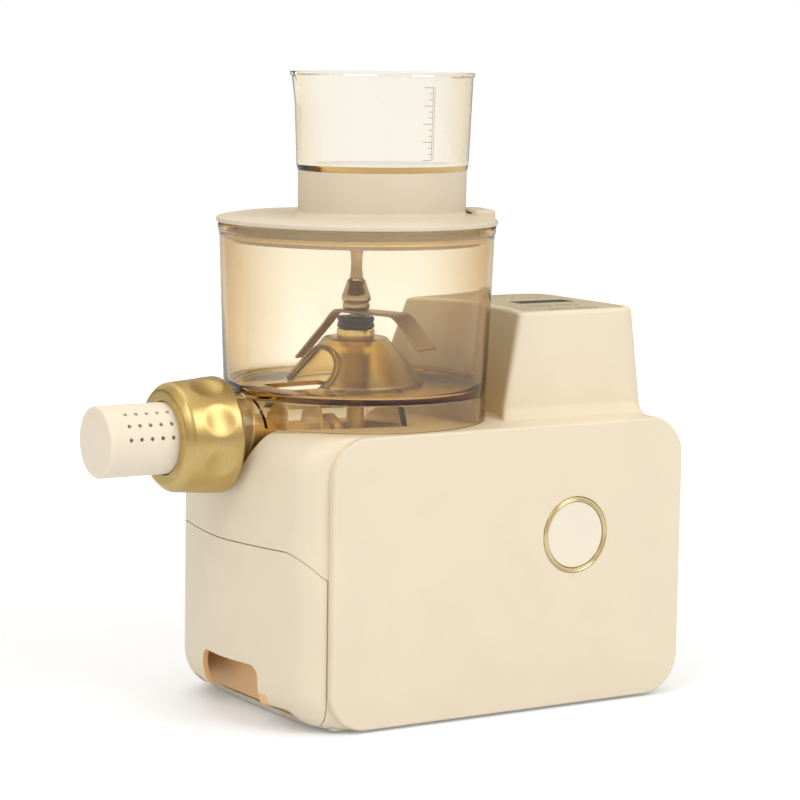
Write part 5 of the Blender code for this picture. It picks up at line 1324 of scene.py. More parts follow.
@dataclass
class Bowl:
    """The clear bowl with its extruder tube and thread, the cone in it and the gold collar."""

    skirt_radius: float = 0.0691
    floor_radius: float = 0.0693
    top_radius: float = 0.0720
    rim_radius: float = 0.0728
    wall: float = 0.0024
    bottom: float = 0.1518
    floor_z: float = 0.1685
    floor: float = 0.0025
    rim_z: float = 0.2540
    bore: float = 0.0049
    hub_radius: float = 0.0082
    hub_top: float = 0.1835
    tube_radius: float = 0.0212
    tube_bore: float = 0.0182
    neck_radius: float = 0.0222
    cone_base: float = 0.0360
    cone_top: float = 0.0163
    cone_height: float = 0.0245
    cone_wall: float = 0.0020
    arch_radius: float = 0.0195
    tube_rear: float = 0.0200
    tube_mouth: float = -0.0955
    neck_start: float = -0.0805
    rim_drop: float = 0.0056
    lip_radius: float = 0.0013

    def vessel(self) -> None:
        """Build the bowl, its tube, its mouth and the opening to the tube."""
        rim = self.rim_z
        under = self.floor_z - self.floor
        outline = section([
            (self.top_radius - self.wall + 0.0003, rim, 0.0008), (self.rim_radius, rim, 0.0008),
            (self.rim_radius, rim - 0.0036, 0.0004), (self.top_radius, rim - self.rim_drop, 0.002),
            (self.floor_radius, self.floor_z + self.floor, 0.002), (self.skirt_radius - 0.0003, under, 0.0008),
            (self.skirt_radius, self.bottom, 0.0003), (self.skirt_radius - self.wall, self.bottom, 0.0003),
            (self.skirt_radius - self.wall - 0.0003, under, 0.0006), (self.bore, under, 0),
            (self.bore, self.hub_top, 0.0005), (self.hub_radius, self.hub_top, 0.0005),
            (self.hub_radius, self.floor_z, 0.0015), (self.floor_radius - self.wall, self.floor_z, 0.0045),
            (self.top_radius - self.wall, rim - self.rim_drop, 0.002)], 4)
        bowl = turned("bowl_clear", outline, 144)
        skirt = self.skirt_radius
        combine(bowl, Way.CUT, rod("skirt_hole", (-skirt - OVERRUN, 0, AXIS_Z), (-skirt + 0.008, 0, AXIS_Z),
                                   self.tube_radius - 0.0015, 59))
        rear, mouth, start = self.tube_rear, self.tube_mouth, self.neck_start
        tube = turned("tube", section([
            (0, rear, 0), (self.tube_radius, rear, 0.001), (self.tube_radius, start, 0),
            (self.neck_radius, start, 0.0004), (self.neck_radius, mouth, 0.0005),
            (self.tube_bore, mouth, 0.0005),
            (self.tube_bore, rear - 0.0025, 0.001), (0, rear - 0.0025, 0)]), 93, Axis.X, EXTRUDER_LINE)
        combine(tube, Way.CUT, rod("shaft_way", (0, 0, 0.1242), (0, 0, self.floor_z + OVERRUN), 0.00655, 31))
        combine(bowl, Way.JOIN, tube)
        combine(bowl, Way.CUT, box("dough_slot", (-0.0480, -0.0130, AXIS_Z),
                                   (-0.0150, 0.0130, self.floor_z + OVERRUN)))
        dressed(bowl, Coat.AMBER, "bowl_unit", ["bowl"], 30)

    def thread(self) -> None:
        """Build the thread's ridge as a helix round the tube's mouth."""
        sheet = GeometrySheet("barrel thread", {"Turns": 2.6, "Pitch": 0.0050, "Ridge": 0.00105,
                                                "Radius": self.neck_radius + 0.0002})
        radius, turns = sheet.size("Radius"), sheet.size("Turns")
        helix = sheet.add("CurveSpiral", {"Resolution": 72, "Rotations": turns, "Start Radius": radius,
                                          "End Radius": radius,
                                          "Height": sheet.sum("MULTIPLY", turns, sheet.size("Pitch"))})
        ridge = sheet.add("CurvePrimitiveCircle", {"Resolution": 10, "Radius": sheet.size("Ridge")})
        solid = sheet.add("CurveToMesh", {"Curve": helix, "Profile Curve": ridge, "Fill Caps": True})
        placed = sheet.moved(solid, (-0.0818, 0, AXIS_Z), (0, -math.pi / 2, 0))
        dressed(sheet.baked("barrel_thread", placed, Coat.AMBER), Coat.AMBER, "bowl_unit")

    def cone_reach(self, height: float) -> float:
        """Return the cone's outer radius at a height."""
        low = self.floor_z + GAP
        share = min(max((height - low) / self.cone_height, 0.0), 1.0)
        return self.cone_base + (self.cone_top - self.cone_base) * share

    def cone(self) -> None:
        """Build the cone with its arched mouth and the thick lip round the arch."""
        low = self.floor_z + GAP
        top = low + self.cone_height
        hole = 0.0089
        outline = section([
            (hole, top, 0), (self.cone_top, top, 0.0012), (self.cone_base, low + 0.001, 0.0008),
            (self.cone_base, low, 0),
            (self.cone_base - 0.003, low, 0), (self.cone_top - self.cone_wall, top - self.cone_wall, 0.0008),
            (hole, top - self.cone_wall, 0)])
        cone = turned("cone_clear", outline, 112)
        combine(cone, Way.CUT, rod("arch", (-self.cone_base - OVERRUN, 0, low),
                                   (-self.cone_top + self.cone_wall, 0, low),
                                   self.arch_radius, 71))
        dressed(cone, Coat.DEEP_AMBER, "bowl_unit", ["cone_cover"], 30)
        path = []
        for step in range(49):
            angle = math.pi * step / 48
            across, up = self.arch_radius * math.cos(angle), self.arch_radius * math.sin(angle)
            reach = self.cone_reach(low + up)
            back = math.sqrt(max(reach ** 2 - across ** 2, 0.0))
            path.append((-back + 0.0004, across, low + 0.0012 + up * 0.95))
        curve = bpy.data.curves.new("arch_lip_line", "CURVE")
        curve.dimensions = "3D"
        curve.bevel_depth = self.lip_radius
        curve.bevel_resolution = 4
        curve.use_fill_caps = True
        line = curve.splines.new("POLY")
        line.points.add(len(path) - 1)
        for point, place in zip(line.points, path):
            point.co = (*place, 1.0)
        guide = linked("arch_lip_line", curve)
        mesh = result_mesh(guide)
        bpy.data.objects.remove(guide, do_unlink=True)
        dressed(linked("arch_lip", mesh), Coat.LIP_AMBER, "bowl_unit")

    def collar(self) -> None:
        """Build the gold collar on the cone with a ribbed sleeve."""
        base, outer, sleeve, hub = 0.1933 + GAP, 0.0098, 0.0086, self.hub_radius + GAP
        outline = section([
            (self.bore, base + 0.0045, 0), (0.0092, base + 0.0045, 0.0005), (outer, base + 0.0034, 0.0004),
            (outer, base, 0.0002), (sleeve, base, 0), (sleeve, base - 0.006, 0.0003), (hub, base - 0.006, 0),
            (hub, base - 0.0098 + 0.0062, 0), (self.bore, base - 0.0036, 0)], 4)
        dressed(turned("collar_gold", outline, 96), Coat.COLLAR_GOLD, "bowl_unit", ["seal_collar"])
        sheet = GeometrySheet("collar ribs", {"Count": 30, "Radius": 0.0097, "Rib": 0.00034, "Height": 0.0030})
        circle = sheet.add("MeshCircle", {"Vertices": sheet.size("Count"), "Radius": sheet.size("Radius")})
        rib = sheet.add("MeshCylinder", {"Vertices": 8, "Radius": sheet.size("Rib"),
                                         "Depth": sheet.size("Height")})
        placed = sheet.moved(sheet.copies(circle, rib), (0, 0, base + 0.0017))
        dressed(sheet.baked("collar_ribs", placed, Coat.COLLAR_GOLD), Coat.COLLAR_GOLD, "bowl_unit")

    def build(self, frame: dict[str, Any]) -> None:
        """Build and dress the bowl's pieces.

        Args:
            frame: The loaded frame, which is not used.
        """
        self.vessel()
        self.thread()
        self.cone()
        self.collar()


@dataclass
class Stirrer:
    """The seal ring, the bent blade and the chrome spindle."""

    blade_low: float = 0.2066
    thickness: float = 0.0014
    spindle_low: float = 0.2083
    spindle_rise: float = 0.0345
    bead: float = 0.0077
    shoulder: float = 0.0048
    tip: float = 0.0036
    blade_turn: float = -70.0
    blade_bore: float = 0.00385
    seal_bore: float = 0.00445
    seal_radius: float = 0.0098
    seal_low: float = 0.1984
    seal_top: float = 0.2044
    square_half: float = 0.0026

    def blade(self) -> None:
        """Build the blade from its bent strip, thin at the edges."""
        middle = self.blade_low + self.thickness / 2
        stations = [(-0.0385, -0.0290, 0.0036), (-0.0300, -0.0199, 0.0037), (-0.0200, -0.0092, 0.0037),
                    (-0.0140, -0.0022, 0.0038), (-0.0118, -0.0006, 0.0042), (-0.0090, 0.0, 0.0070),
                    (-0.0060, 0.0, 0.0078), (0.0100, 0.0, 0.0078), (0.0270, 0.0, 0.0078),
                    (0.0296, -0.0006, 0.0078),
                    (0.0320, -0.0022, 0.0078), (0.0400, -0.0101, 0.0078), (0.0470, -0.0170, 0.0078)]
        turn = Matrix.Rotation(math.radians(self.blade_turn), 3, "Z")
        rings = []
        for index, (reach, lift, width) in enumerate(stations):
            before, after = stations[max(index - 1, 0)], stations[min(index + 1, len(stations) - 1)]
            along = Vector((after[0] - before[0], 0, after[1] - before[1])).normalized()
            off = Vector((-along.z, 0, along.x)) * self.thickness / 2
            centre = Vector((reach, 0, middle + lift))
            ring = []
            for side, edge in ((1, 1.0), (1, -1.0), (0.35, -1.06), (-0.35, -1.06), (-1, -1.0), (-1, 1.0),
                               (-0.35, 1.06),
                               (0.35, 1.06)):
                ring.append(tuple(turn @ (centre + off * side + Vector((0, width * edge * 0.95, 0)))))
            rings.append(ring)
        blade = loft("blade_strip", rings)
        combine(blade, Way.CUT, rod("bore", (0, 0, 0.20), (0, 0, 0.212), self.blade_bore, 40))
        dressed(blade, Coat.BRONZE, "stirrer", ["stirrer_blade"], 40)

    def spindle(self) -> None:
        """Build the chrome spindle: a beaded base, a waist and a flared tip."""
        low, rise, bead, half = self.spindle_low, self.spindle_rise, self.bead, self.square_half
        shape = [(0.0, 0.0, 0.0), (bead * 0.86, 0.0, 0.0004), (bead * 0.93, 0.03, 0.0004),
                 (bead * 0.93, 0.09, 0.0004),
                 (bead * 0.86, 0.11, 0.0003), (bead * 1.0, 0.14, 0.0006), (bead * 1.0, 0.21, 0.0008),
                 (bead * 0.80, 0.33, 0.001), (self.shoulder, 0.46, 0.0008), (self.tip, 0.485, 0.0004),
                 (self.tip * 0.84, 0.62, 0.002), (self.tip * 0.84, 0.76, 0.002), (self.tip, 0.965, 0.0006),
                 (self.tip * 0.86, 1.0, 0.0003), (0.0, 1.0, 0.0)]
        outline = section([(r, low + rise * share, f) for r, share, f in shape])
        spindle = turned("spindle_chrome", outline, 72)
        combine(spindle, Way.CUT, box("square", (-half, -half, low - 0.003),
                                      (half, half, low + 0.0006)))
        dressed(spindle, Coat.CHROME, "stirrer", ["stirrer_spindle"], 40)

    def build(self, frame: dict[str, Any]) -> None:
        """Build and dress the stirrer's pieces.

        Args:
            frame: The loaded frame.
        """
        seal = section([(self.seal_bore, self.seal_top, 0.0003), (0.0095, self.seal_top, 0.0008),
                        (self.seal_radius, 0.2026, 0.0004),
                        (0.0091, 0.2014, 0.0004), (self.seal_radius, 0.2002, 0.0004),
                        (self.seal_radius, self.seal_low, 0.0004), (self.seal_bore, self.seal_low, 0)])
        dressed(turned("seal_black", seal, 80), Coat.BLACK, "stirrer", ["seal_ring"])
        self.blade()
        self.spindle()
        coat_nodes(frame, Coat.PALE_GOLD, "drive_spindle")


@dataclass
class Extruder:
    """The auger, the gold ring nut with its finger dents and the die cap with its holes."""

    bore: float = 0.0172
    core: float = 0.0060
    front: float = -0.0925
    rear: float = -0.0180
    pitch: float = 0.0200
    flight: float = 0.0030
    ring_back: float = -0.0822
    ring_front: float = -0.1137
    ring_radius: float = 0.0300
    ring_front_radius: float = 0.0279
    ring_face: float = 0.0246
    die_radius: float = 0.0183
    die_end: float = -0.1517
    die_wall: float = 0.0028
    flange_radius: float = 0.0230
    flange_back: float = -0.0958
    flange_front: float = -0.1100
    ring_bore: float = 0.0241
    ring_lip: float = 0.0034
    dent_count: int = 8
    dent_place: float = 0.0125
    dent_across: float = 0.0092
    dent_along: float = 0.0090
    dent_depth: float = 0.0013
    dent_floor: float = 0.0255

    def auger(self) -> None:
        """Build the auger's core and its helical flight."""
        core = turned("auger_screw", section([
            (0, self.front, 0), (0.0085, self.front, 0.0008),
            (self.core + 0.0004, self.rear, 0), (0, self.rear, 0)]),
            40, Axis.X, EXTRUDER_LINE)
        length = self.rear - self.front - 2 * self.flight
        turns = length / self.pitch
        rings = []
        steps = int(turns * 48)
        for step in range(steps + 1):
            angle = 2 * math.pi * turns * step / steps
            x = self.rear - self.flight - length * step / steps
            ring = []
            for reach, along in ((self.core / 2, -0.0016), (self.bore - 0.0006, -0.0009), (self.bore, -0.0004),
                                 (self.bore, 0.0004), (self.bore - 0.0006, 0.0009), (self.core / 2, 0.0016)):
                ring.append((x + along, reach * math.cos(angle), AXIS_Z + reach * math.sin(angle)))
            rings.append(ring)
        merged(core, loft("flight", rings))
        dressed(core, Coat.AUGER_STEEL, "auger_unit", ["auger"], 40)

    def ring_nut(self) -> None:
        """Build the ring nut from its section, pressed in at its finger dents."""
        back, front = self.ring_back, self.ring_front
        outline = section([
            (self.ring_radius - 0.0004, back, 0.0003), (self.ring_radius, back - 0.0012, 0.0006),
            (self.ring_radius - 0.0004, back - 0.008, 0.002), (self.ring_front_radius, front + 0.0036, 0.0018),
            (self.ring_face, front, 0.0012), (self.die_radius + 0.0006, front, 0.0005),
            (self.die_radius + GAP, front + self.ring_lip, 0), (self.ring_bore, front + self.ring_lip, 0),
            (self.ring_bore, back, 0.0004)], 8)
        fine: list[Flat] = []
        for first, second in zip(outline, outline[1:] + outline[:1]):
            parts = max(1, int(math.dist(first, second) / 0.0009))
            fine += [(first[0] + (second[0] - first[0]) * part / parts,
                      first[1] + (second[1] - first[1]) * part / parts) for part in range(parts)]
        ring = turned("ring_gold", fine, 192, Axis.X, EXTRUDER_LINE)
        span = 360.0 / self.dent_count
        for vertex in ring.data.vertices:
            x, y, z = vertex.co.x, vertex.co.y, vertex.co.z - AXIS_Z
            radius = math.hypot(y, z)
            if radius < self.dent_floor:
                continue
            turn = (math.degrees(math.atan2(z, y)) / span) % 1.0 - 0.5
            across = turn * math.radians(span) * radius / self.dent_across
            along = (back - self.dent_place - x) / self.dent_along
            depth = self.dent_depth * max(0.0, 1 - across ** 2 - along ** 2) ** 1.5
            pull = (radius - depth) / radius
            vertex.co = (x, y * pull, AXIS_Z + z * pull)
        dressed(ring, Coat.GOLD, "ring", ["ring_nut"], 40)

    def die(self) -> None:
        """Build the die cap and let a tree drill its rows of holes."""
        outline = section([
            (self.flange_radius, self.flange_back, 0), (self.flange_radius, self.flange_front, 0.0004),
            (self.die_radius, self.flange_front, 0),
            (self.die_radius, self.die_end, 0.0016), (0, self.die_end, 0), (0, self.die_end + self.die_wall, 0),
            (self.die_radius - self.die_wall, self.die_end + self.die_wall, 0.001),
            (self.die_radius - self.die_wall, self.flange_back, 0)])
        base = turned("die_blank", outline, 131, Axis.X, EXTRUDER_LINE)
        sheet = GeometrySheet("die holes", {"Groups": 2, "Rows": 3, "Columns": 5, "Pitch": 0.0059,
                                            "First": -0.1402, "First Turn": math.radians(36.6),
                                            "Row Turn": math.radians(22.5), "Hole Radius": 0.00105,
                                            "Reach": self.die_radius - self.die_wall / 2})
        rows, columns, groups, reach = (sheet.size(title) for title in ("Rows", "Columns", "Groups", "Reach"))
        group_size = sheet.sum("MULTIPLY", rows, columns)
        total = sheet.sum("MULTIPLY", group_size, groups)
        index = sheet.add("InputIndex", {})
        column = sheet.sum("FLOORED_MODULO", index, columns)
        row = sheet.sum("FLOORED_MODULO", sheet.sum("FLOOR", sheet.sum("DIVIDE", index, columns)), rows)
        group = sheet.sum("FLOOR", sheet.sum("DIVIDE", index, group_size))
        group_turn = sheet.sum("MULTIPLY", sheet.sum("DIVIDE", group, groups), 2 * math.pi)
        row_turn = sheet.sum("ADD", sheet.size("First Turn"),
                             sheet.sum("MULTIPLY", row, sheet.size("Row Turn")))
        angle = sheet.sum("ADD", group_turn, row_turn)
        x = sheet.sum("ADD", sheet.size("First"), sheet.sum("MULTIPLY", column, sheet.size("Pitch")))
        y = sheet.sum("MULTIPLY", sheet.sum("SINE", angle), sheet.sum("MULTIPLY", reach, -1.0))
        z = sheet.sum("ADD", sheet.sum("MULTIPLY", sheet.sum("COSINE", angle), reach), AXIS_Z)
        points = sheet.add("Points", {"Count": total, "Position": sheet.vector(x, y, z)})
        drill = sheet.add("MeshCylinder", {"Vertices": 14, "Radius": sheet.size("Hole Radius"),
                                           "Depth": 0.0068})
        drills = sheet.copies(points, drill, rotation=sheet.vector(angle, 0.0, 0.0))
        holed = sheet.add("MeshBoolean", {0: sheet.mesh, 1: sheet.add("RealizeInstances", {0: drills})},
                          operation="DIFFERENCE", solver="EXACT")
        die = sheet.baked("die_perforated", holed, Coat.DIE_WHITE, base)
        dressed(die, Coat.DIE_WHITE, "die", ["die_cap"], 40)

    def build(self, frame: dict[str, Any]) -> None:
        """Build and dress the extruder's pieces.

        Args:
            frame: The loaded frame.
        """
        self.auger()
        self.ring_nut()
        self.die()
        coat_nodes(frame, Coat.PALE_GOLD, "auger_bevel")


@dataclass
class LidAndCup:
    """The cream lid with its oval neck and catch, its gasket, and the clear measuring cup."""

    lid_radius: float = 0.0737
    under: float = 0.2543
    top: float = 0.2587
    plate: float = 0.0026
    skirt_radius: float = 0.0651
    skirt_wall: float = 0.0018
    skirt_depth: float = 0.0100
    neck_x: float = 0.0153
    neck_length: float = 0.0470
    neck_width: float = 0.0360
    neck_wall: float = 0.0022
    neck_top: float = 0.2811
    cup_rim: Flat = (0.0500, 0.0380)
    cup_height: float = 0.0509
    cup_wall: float = 0.0018
    cup_step: float = 0.0008
    cup_lip: float = 0.0007
    cup_sole: float = 0.0006
    spout_reach: float = 0.0038
    spout_depth: float = 0.0155

    def lid(self) -> None:
        """Build the lid's disc and skirt, the neck with its chute, and the catch."""
        edge_top = self.under + 0.0024
        outline = section([
            (0, self.top, 0), (self.neck_length + self.neck_x, self.top, 0.004),
            (self.lid_radius, edge_top, 0.0010),
            (self.lid_radius, self.under, 0.0006), (self.skirt_radius, self.under, 0),
            (self.skirt_radius, self.under - self.skirt_depth, 0.0004),
            (self.skirt_radius - self.skirt_wall, self.under - self.skirt_depth, 0.0004),
            (self.skirt_radius - self.skirt_wall, self.top - self.plate, 0.001), (0, self.top - self.plate, 0)])
        lid = turned("lid_cream", outline, 160)
        low = self.top - self.plate
        rings = [oval(self.neck_x, self.neck_length, self.neck_width, low)]
        for step in range(9):
            share = step / 8
            flare = 0.0011 * (1 - share) ** 2
            rings.append(oval(self.neck_x, self.neck_length + flare, self.neck_width + flare,
                              self.top + 0.0018 * share))
        for inset, drop in rounding(0.0004, 2):
            rings.append(oval(self.neck_x, self.neck_length - inset, self.neck_width - inset,
                              self.neck_top - drop))
        combine(lid, Way.JOIN, loft("neck", rings))
        chute = [oval(self.neck_x, self.neck_length - self.neck_wall, self.neck_width - self.neck_wall,
                      z, points=90)
                 for z in (low - OVERRUN, self.neck_top + OVERRUN)]
        combine(lid, Way.CUT, loft("chute", chute))
        dressed(lid, Coat.SHADED_LID_CREAM, "lid_unit", ["lid"], 30)

    def catch(self) -> None:
        """Build the catch tab behind the neck, with its finger slot."""
        low = self.top - self.plate
        outline = rounded_rectangle(0.0600, 0.0715, -0.0160, 0.0160, 0.0030, 8)
        tab = slab("lid_catch", outline, low, self.under + 0.0069, 0.0012)
        combine(tab, Way.CUT, box("slot", (0.0560, -0.0080, self.top + GAP),
                                  (0.0658, 0.0080, self.under + 0.0054)))
        tab.data.transform(Matrix.Rotation(math.radians(-16.0), 4, "Z"))
        dressed(tab, Coat.SHADED_LID_CREAM, "lid_unit", angle=30)

    def gasket(self) -> None:
        """Build the gasket round the lid's skirt with two sealing lips."""
        outer, inner, high, low = 0.0693, self.skirt_radius + GAP, 0.2493, 0.2459
        outline = section([(inner, high, 0), (outer - 0.001, high, 0.0004), (outer, high - 0.0006, 0.0003),
                           (outer - 0.0012, (high + low) / 2, 0.0006), (outer, low + 0.0006, 0.0003),
                           (outer - 0.001, low, 0.0004), (inner, low, 0)])
        dressed(turned("gasket_lip", outline, 144), Coat.GASKET, "lid_unit", ["lid_gasket"])

    def cup_rings(self, inset: float, floor: float) -> list[list[Point]]:
        """List the cup's sections from its floor to its rim, drawn in by an inset.

        Args:
            inset: The wall's thickness, 0 for the outside.
            floor: The lowest height.

        Returns:
            The sections.
        """
        bottom = self.neck_top + GAP
        top = bottom + self.cup_height
        rings = []
        for share in [step / 20 for step in range(19)] + [0.93, 0.955, 0.962, 0.985, 1.0]:
            length, width = (
                (foot + self.cup_step) + (rim - foot - self.cup_step) * share - inset
                for foot, rim in zip((self.neck_length, self.neck_width), self.cup_rim))
            height = bottom + self.cup_height * share
            spout = self.spout_reach * max(0.0, 1.0 - (top - height) / self.spout_depth)
            lip = self.cup_lip if (share > 0.96 and not inset) else 0.0
            soft = self.cup_sole if (share == 0.0 and not inset) else 0.0
            rings.append(oval(self.neck_x, length + lip - soft, width + lip - soft, max(height, floor), spout))
        return rings

    def cup(self) -> None:
        """Build the cup with its spout, its spigot and its hollow."""
        bottom = self.neck_top + GAP
        cup = loft("cup_clear", self.cup_rings(0, bottom))
        inset = self.neck_wall + 0.0005
        spigot = [oval(self.neck_x, self.neck_length - inset, self.neck_width - inset, z, points=88)
                  for z in (bottom - 0.005, bottom + 0.0015)]
        combine(cup, Way.JOIN, loft("spigot", spigot))
        hollow = self.cup_rings(self.cup_wall, bottom + 0.003)
        hollow = [ring for ring, after in zip(hollow, hollow[1:] + [None])
                  if after is None or abs(ring[0][2] - after[0][2]) > 1e-6]
        hollow.append([(x, y, bottom + self.cup_height + OVERRUN) for x, y, _ in hollow[-1]])
        combine(cup, Way.CUT, loft("hollow", hollow))
        dressed(cup, Coat.CUP_AMBER, "cup", ["measuring_cup"], 30)

    def scale(self) -> None:
        """Print the measuring scale: two upright lines with ticks that follow the cup's wall."""
        bottom = self.neck_top + GAP
        target = loft("scale_wall", self.cup_rings(-PRINT_DEPTH, bottom))
        sheet = GeometrySheet("cup scale", {"Count": 13, "Pitch": 0.0031, "Tick": 0.0042, "Line": 0.00028,
                                            "Height": 0.0375, "Low": bottom + 0.0065})
        x, y, lean, line_gap = 0.0218, -0.0372, math.radians(6), 0.0011
        low, tick, line, height = (sheet.size(title) for title in ("Low", "Tick", "Line", "Height"))
        ticks = sheet.add("MeshLine", {"Count": sheet.size("Count"), "Start Location": sheet.vector(x, y, low),
                                       "Offset": sheet.vector(0, 0, sheet.size("Pitch"))})
        third = sheet.sum("COMPARE", sheet.sum("FLOORED_MODULO", sheet.add("InputIndex", {}), 3.0), 0.0, 0.1)
        size = sheet.vector(sheet.sum("ADD", sheet.sum("MULTIPLY", third, 0.8), 0.55), 1.0, 1.0)
        bar = sheet.add("MeshGrid", {"Size X": tick, "Size Y": line, "Vertices X": 8, "Vertices Y": 2})
        stood = sheet.moved(bar, sheet.vector(sheet.sum("MULTIPLY", tick, -0.5), 0, 0), (math.pi / 2, 0, 0))
        row = sheet.copies(ticks, stood, scale=size, rotation=(0, 0, lean))
        upright = sheet.add("MeshGrid", {"Size X": line, "Size Y": height, "Vertices X": 2, "Vertices Y": 40})
        lift = sheet.sum("ADD", low, sheet.sum("MULTIPLY", height, 0.5))
        posts = [sheet.moved(upright, sheet.vector(x + shift, y + shift * 0.1, lift), (math.pi / 2, 0, lean))
                 for shift in (0.0, line_gap)]
        real = sheet.add("RealizeInstances", {0: sheet.join(row, sheet.join(*posts))})
        near = sheet.add("Proximity", {0: sheet.mesh})
        laid = sheet.add("SetPosition", {"Geometry": real, "Position": near})
        dressed(sheet.baked("cup_scale", laid, Coat.SCALE, target), Coat.SCALE, "cup")

    def build(self, frame: dict[str, Any]) -> None:
        """Build and dress the lid's and the cup's pieces.

        Args:
            frame: The loaded frame, which is not used.
        """
        self.lid()
        self.catch()
        self.gasket()
        self.cup()
        self.scale()


@dataclass
class Drawer:
    """The storage drawer: the end's curved front with its finger notch, and the tray behind it."""

    form: BodyForm
    seam: float = 0.0005
    front_wall: float = 0.0030
    back: float = -0.0030
    tray_front: float = -0.0580
    tray_half: float = 0.0540
    tray_height: float = 0.0700
    tray_wall: float = 0.0022
    web_half: float = 0.0480
    notch_top: float = 0.0315
    notch_near: float = -0.0220
    notch_far: float = 0.0220
    notch_slope: float = 0.0160
    notch_corner: float = 0.0040
    raise_height: float = 0.0115
    raise_half: float = 0.0500
    raise_slope: float = 0.0070
    base_thickness: float = 0.003
    tray_clearance: float = 0.0016
    # notch_mouth and side_share pick which of the notch's faces get the painted shade.
    notch_mouth: float = -0.070
    side_share: float = 0.3

    def build(self, frame: dict[str, Any]) -> None:
        """Build and dress the drawer in one piece.

        Args:
            frame: The loaded frame, which is not used.
        """
        form = self.form
        back = form.plate_left - self.seam
        front = form.front
        low = form.low + self.base_thickness + self.tray_clearance
        top = low + self.tray_height
        web_low = self.notch_top + self.tray_wall
        drawer = loft("drawer_cream", form.core_rings(0))
        combine(drawer, Way.KEEP, form.drawer_block(self.seam, back))
        void = loft("void", form.core_rings(self.front_wall))
        combine(void, Way.CUT, box("web", (front, -self.web_half, web_low), (back + GAP, self.web_half, top)))
        combine(drawer, Way.CUT, void)
        slope = self.raise_half + self.raise_slope
        raised: list[Flat] = [(-slope, form.low - OVERRUN), (slope, form.low - OVERRUN)]
        for step in range(9):
            share = step / 8
            raised.append((slope - self.raise_slope * share,
                           form.low + GAP
                           + (self.raise_height - form.low) * (1 - math.cos(math.pi * share)) / 2))
        raised += [(-y, z) for y, z in reversed(raised[2:])]
        combine(drawer, Way.CUT, prism("raise", raised, Axis.X, (front, back + GAP)))
        combine(drawer, Way.JOIN, box("tray", (self.tray_front, -self.tray_half, low),
                                      (self.back, self.tray_half, top)))
        wall = self.tray_wall
        hollow = loft("hollow", form.core_rings(self.front_wall + GAP))
        combine(hollow, Way.KEEP, box("limits", (front, -self.web_half + wall, web_low + wall),
                                      (self.tray_front + wall + 0.004, self.web_half - wall, top + 0.004)))
        combine(drawer, Way.CUT, hollow,
                box("tray_hollow", (self.tray_front + wall, -self.tray_half + wall, low + wall),
                    (self.back - wall, self.tray_half - wall, top + 0.008)))
        rings = []
        for x, near, corner in ((front, self.notch_near - self.notch_slope, 2 * self.notch_corner),
                                (self.tray_front - GAP, self.notch_near, self.notch_corner)):
            shape = arc((self.notch_far - corner, self.notch_top - corner), corner, 0, 90, 8)
            shape += arc((near + corner, self.notch_top - corner), corner, 90, 180, 8)
            rings.append([(x, y, z) for y, z in shape + [(near, -OVERRUN), (self.notch_far, -OVERRUN)]])
        combine(drawer, Way.CUT, loft("notch", rings))
        dressed(drawer, Coat.CREAM, "drawer", ["drawer"], 28)
        # The notch's inner faces take a warm orange that paints in the shade and bounce light inside the
        # recess.
        drawer.data.materials.append(Coat.NOTCH_PAINTED_SHADE.material())
        for face in drawer.data.polygons:
            middle, normal = face.center, face.normal
            depth = middle.x - BOWL_X
            inside = self.notch_near - self.notch_slope < middle.y < self.notch_far + GAP
            inside = inside and middle.z < self.notch_top + GAP and depth < self.tray_front + 0.004
            if inside and (depth > self.notch_mouth or max(abs(normal.y), abs(normal.z)) > self.side_share):
                face.material_index = 1


@dataclass
class Drive:
    """The motor, gears and coupling inside the housing, which keep their CAD shapes."""

    def build(self, frame: dict[str, Any]) -> None:
        """Dress the drive's nodes.

        Args:
            frame: The loaded frame.
        """
        coat_nodes(frame, Coat.STEEL, "motor_body", "motor_shaft", "motor_pinion", "gear_plate",
                   "reduction_gear",
                   "output_gear")
        coat_nodes(frame, Coat.BLACK, "motor_fan", "drive_coupling")


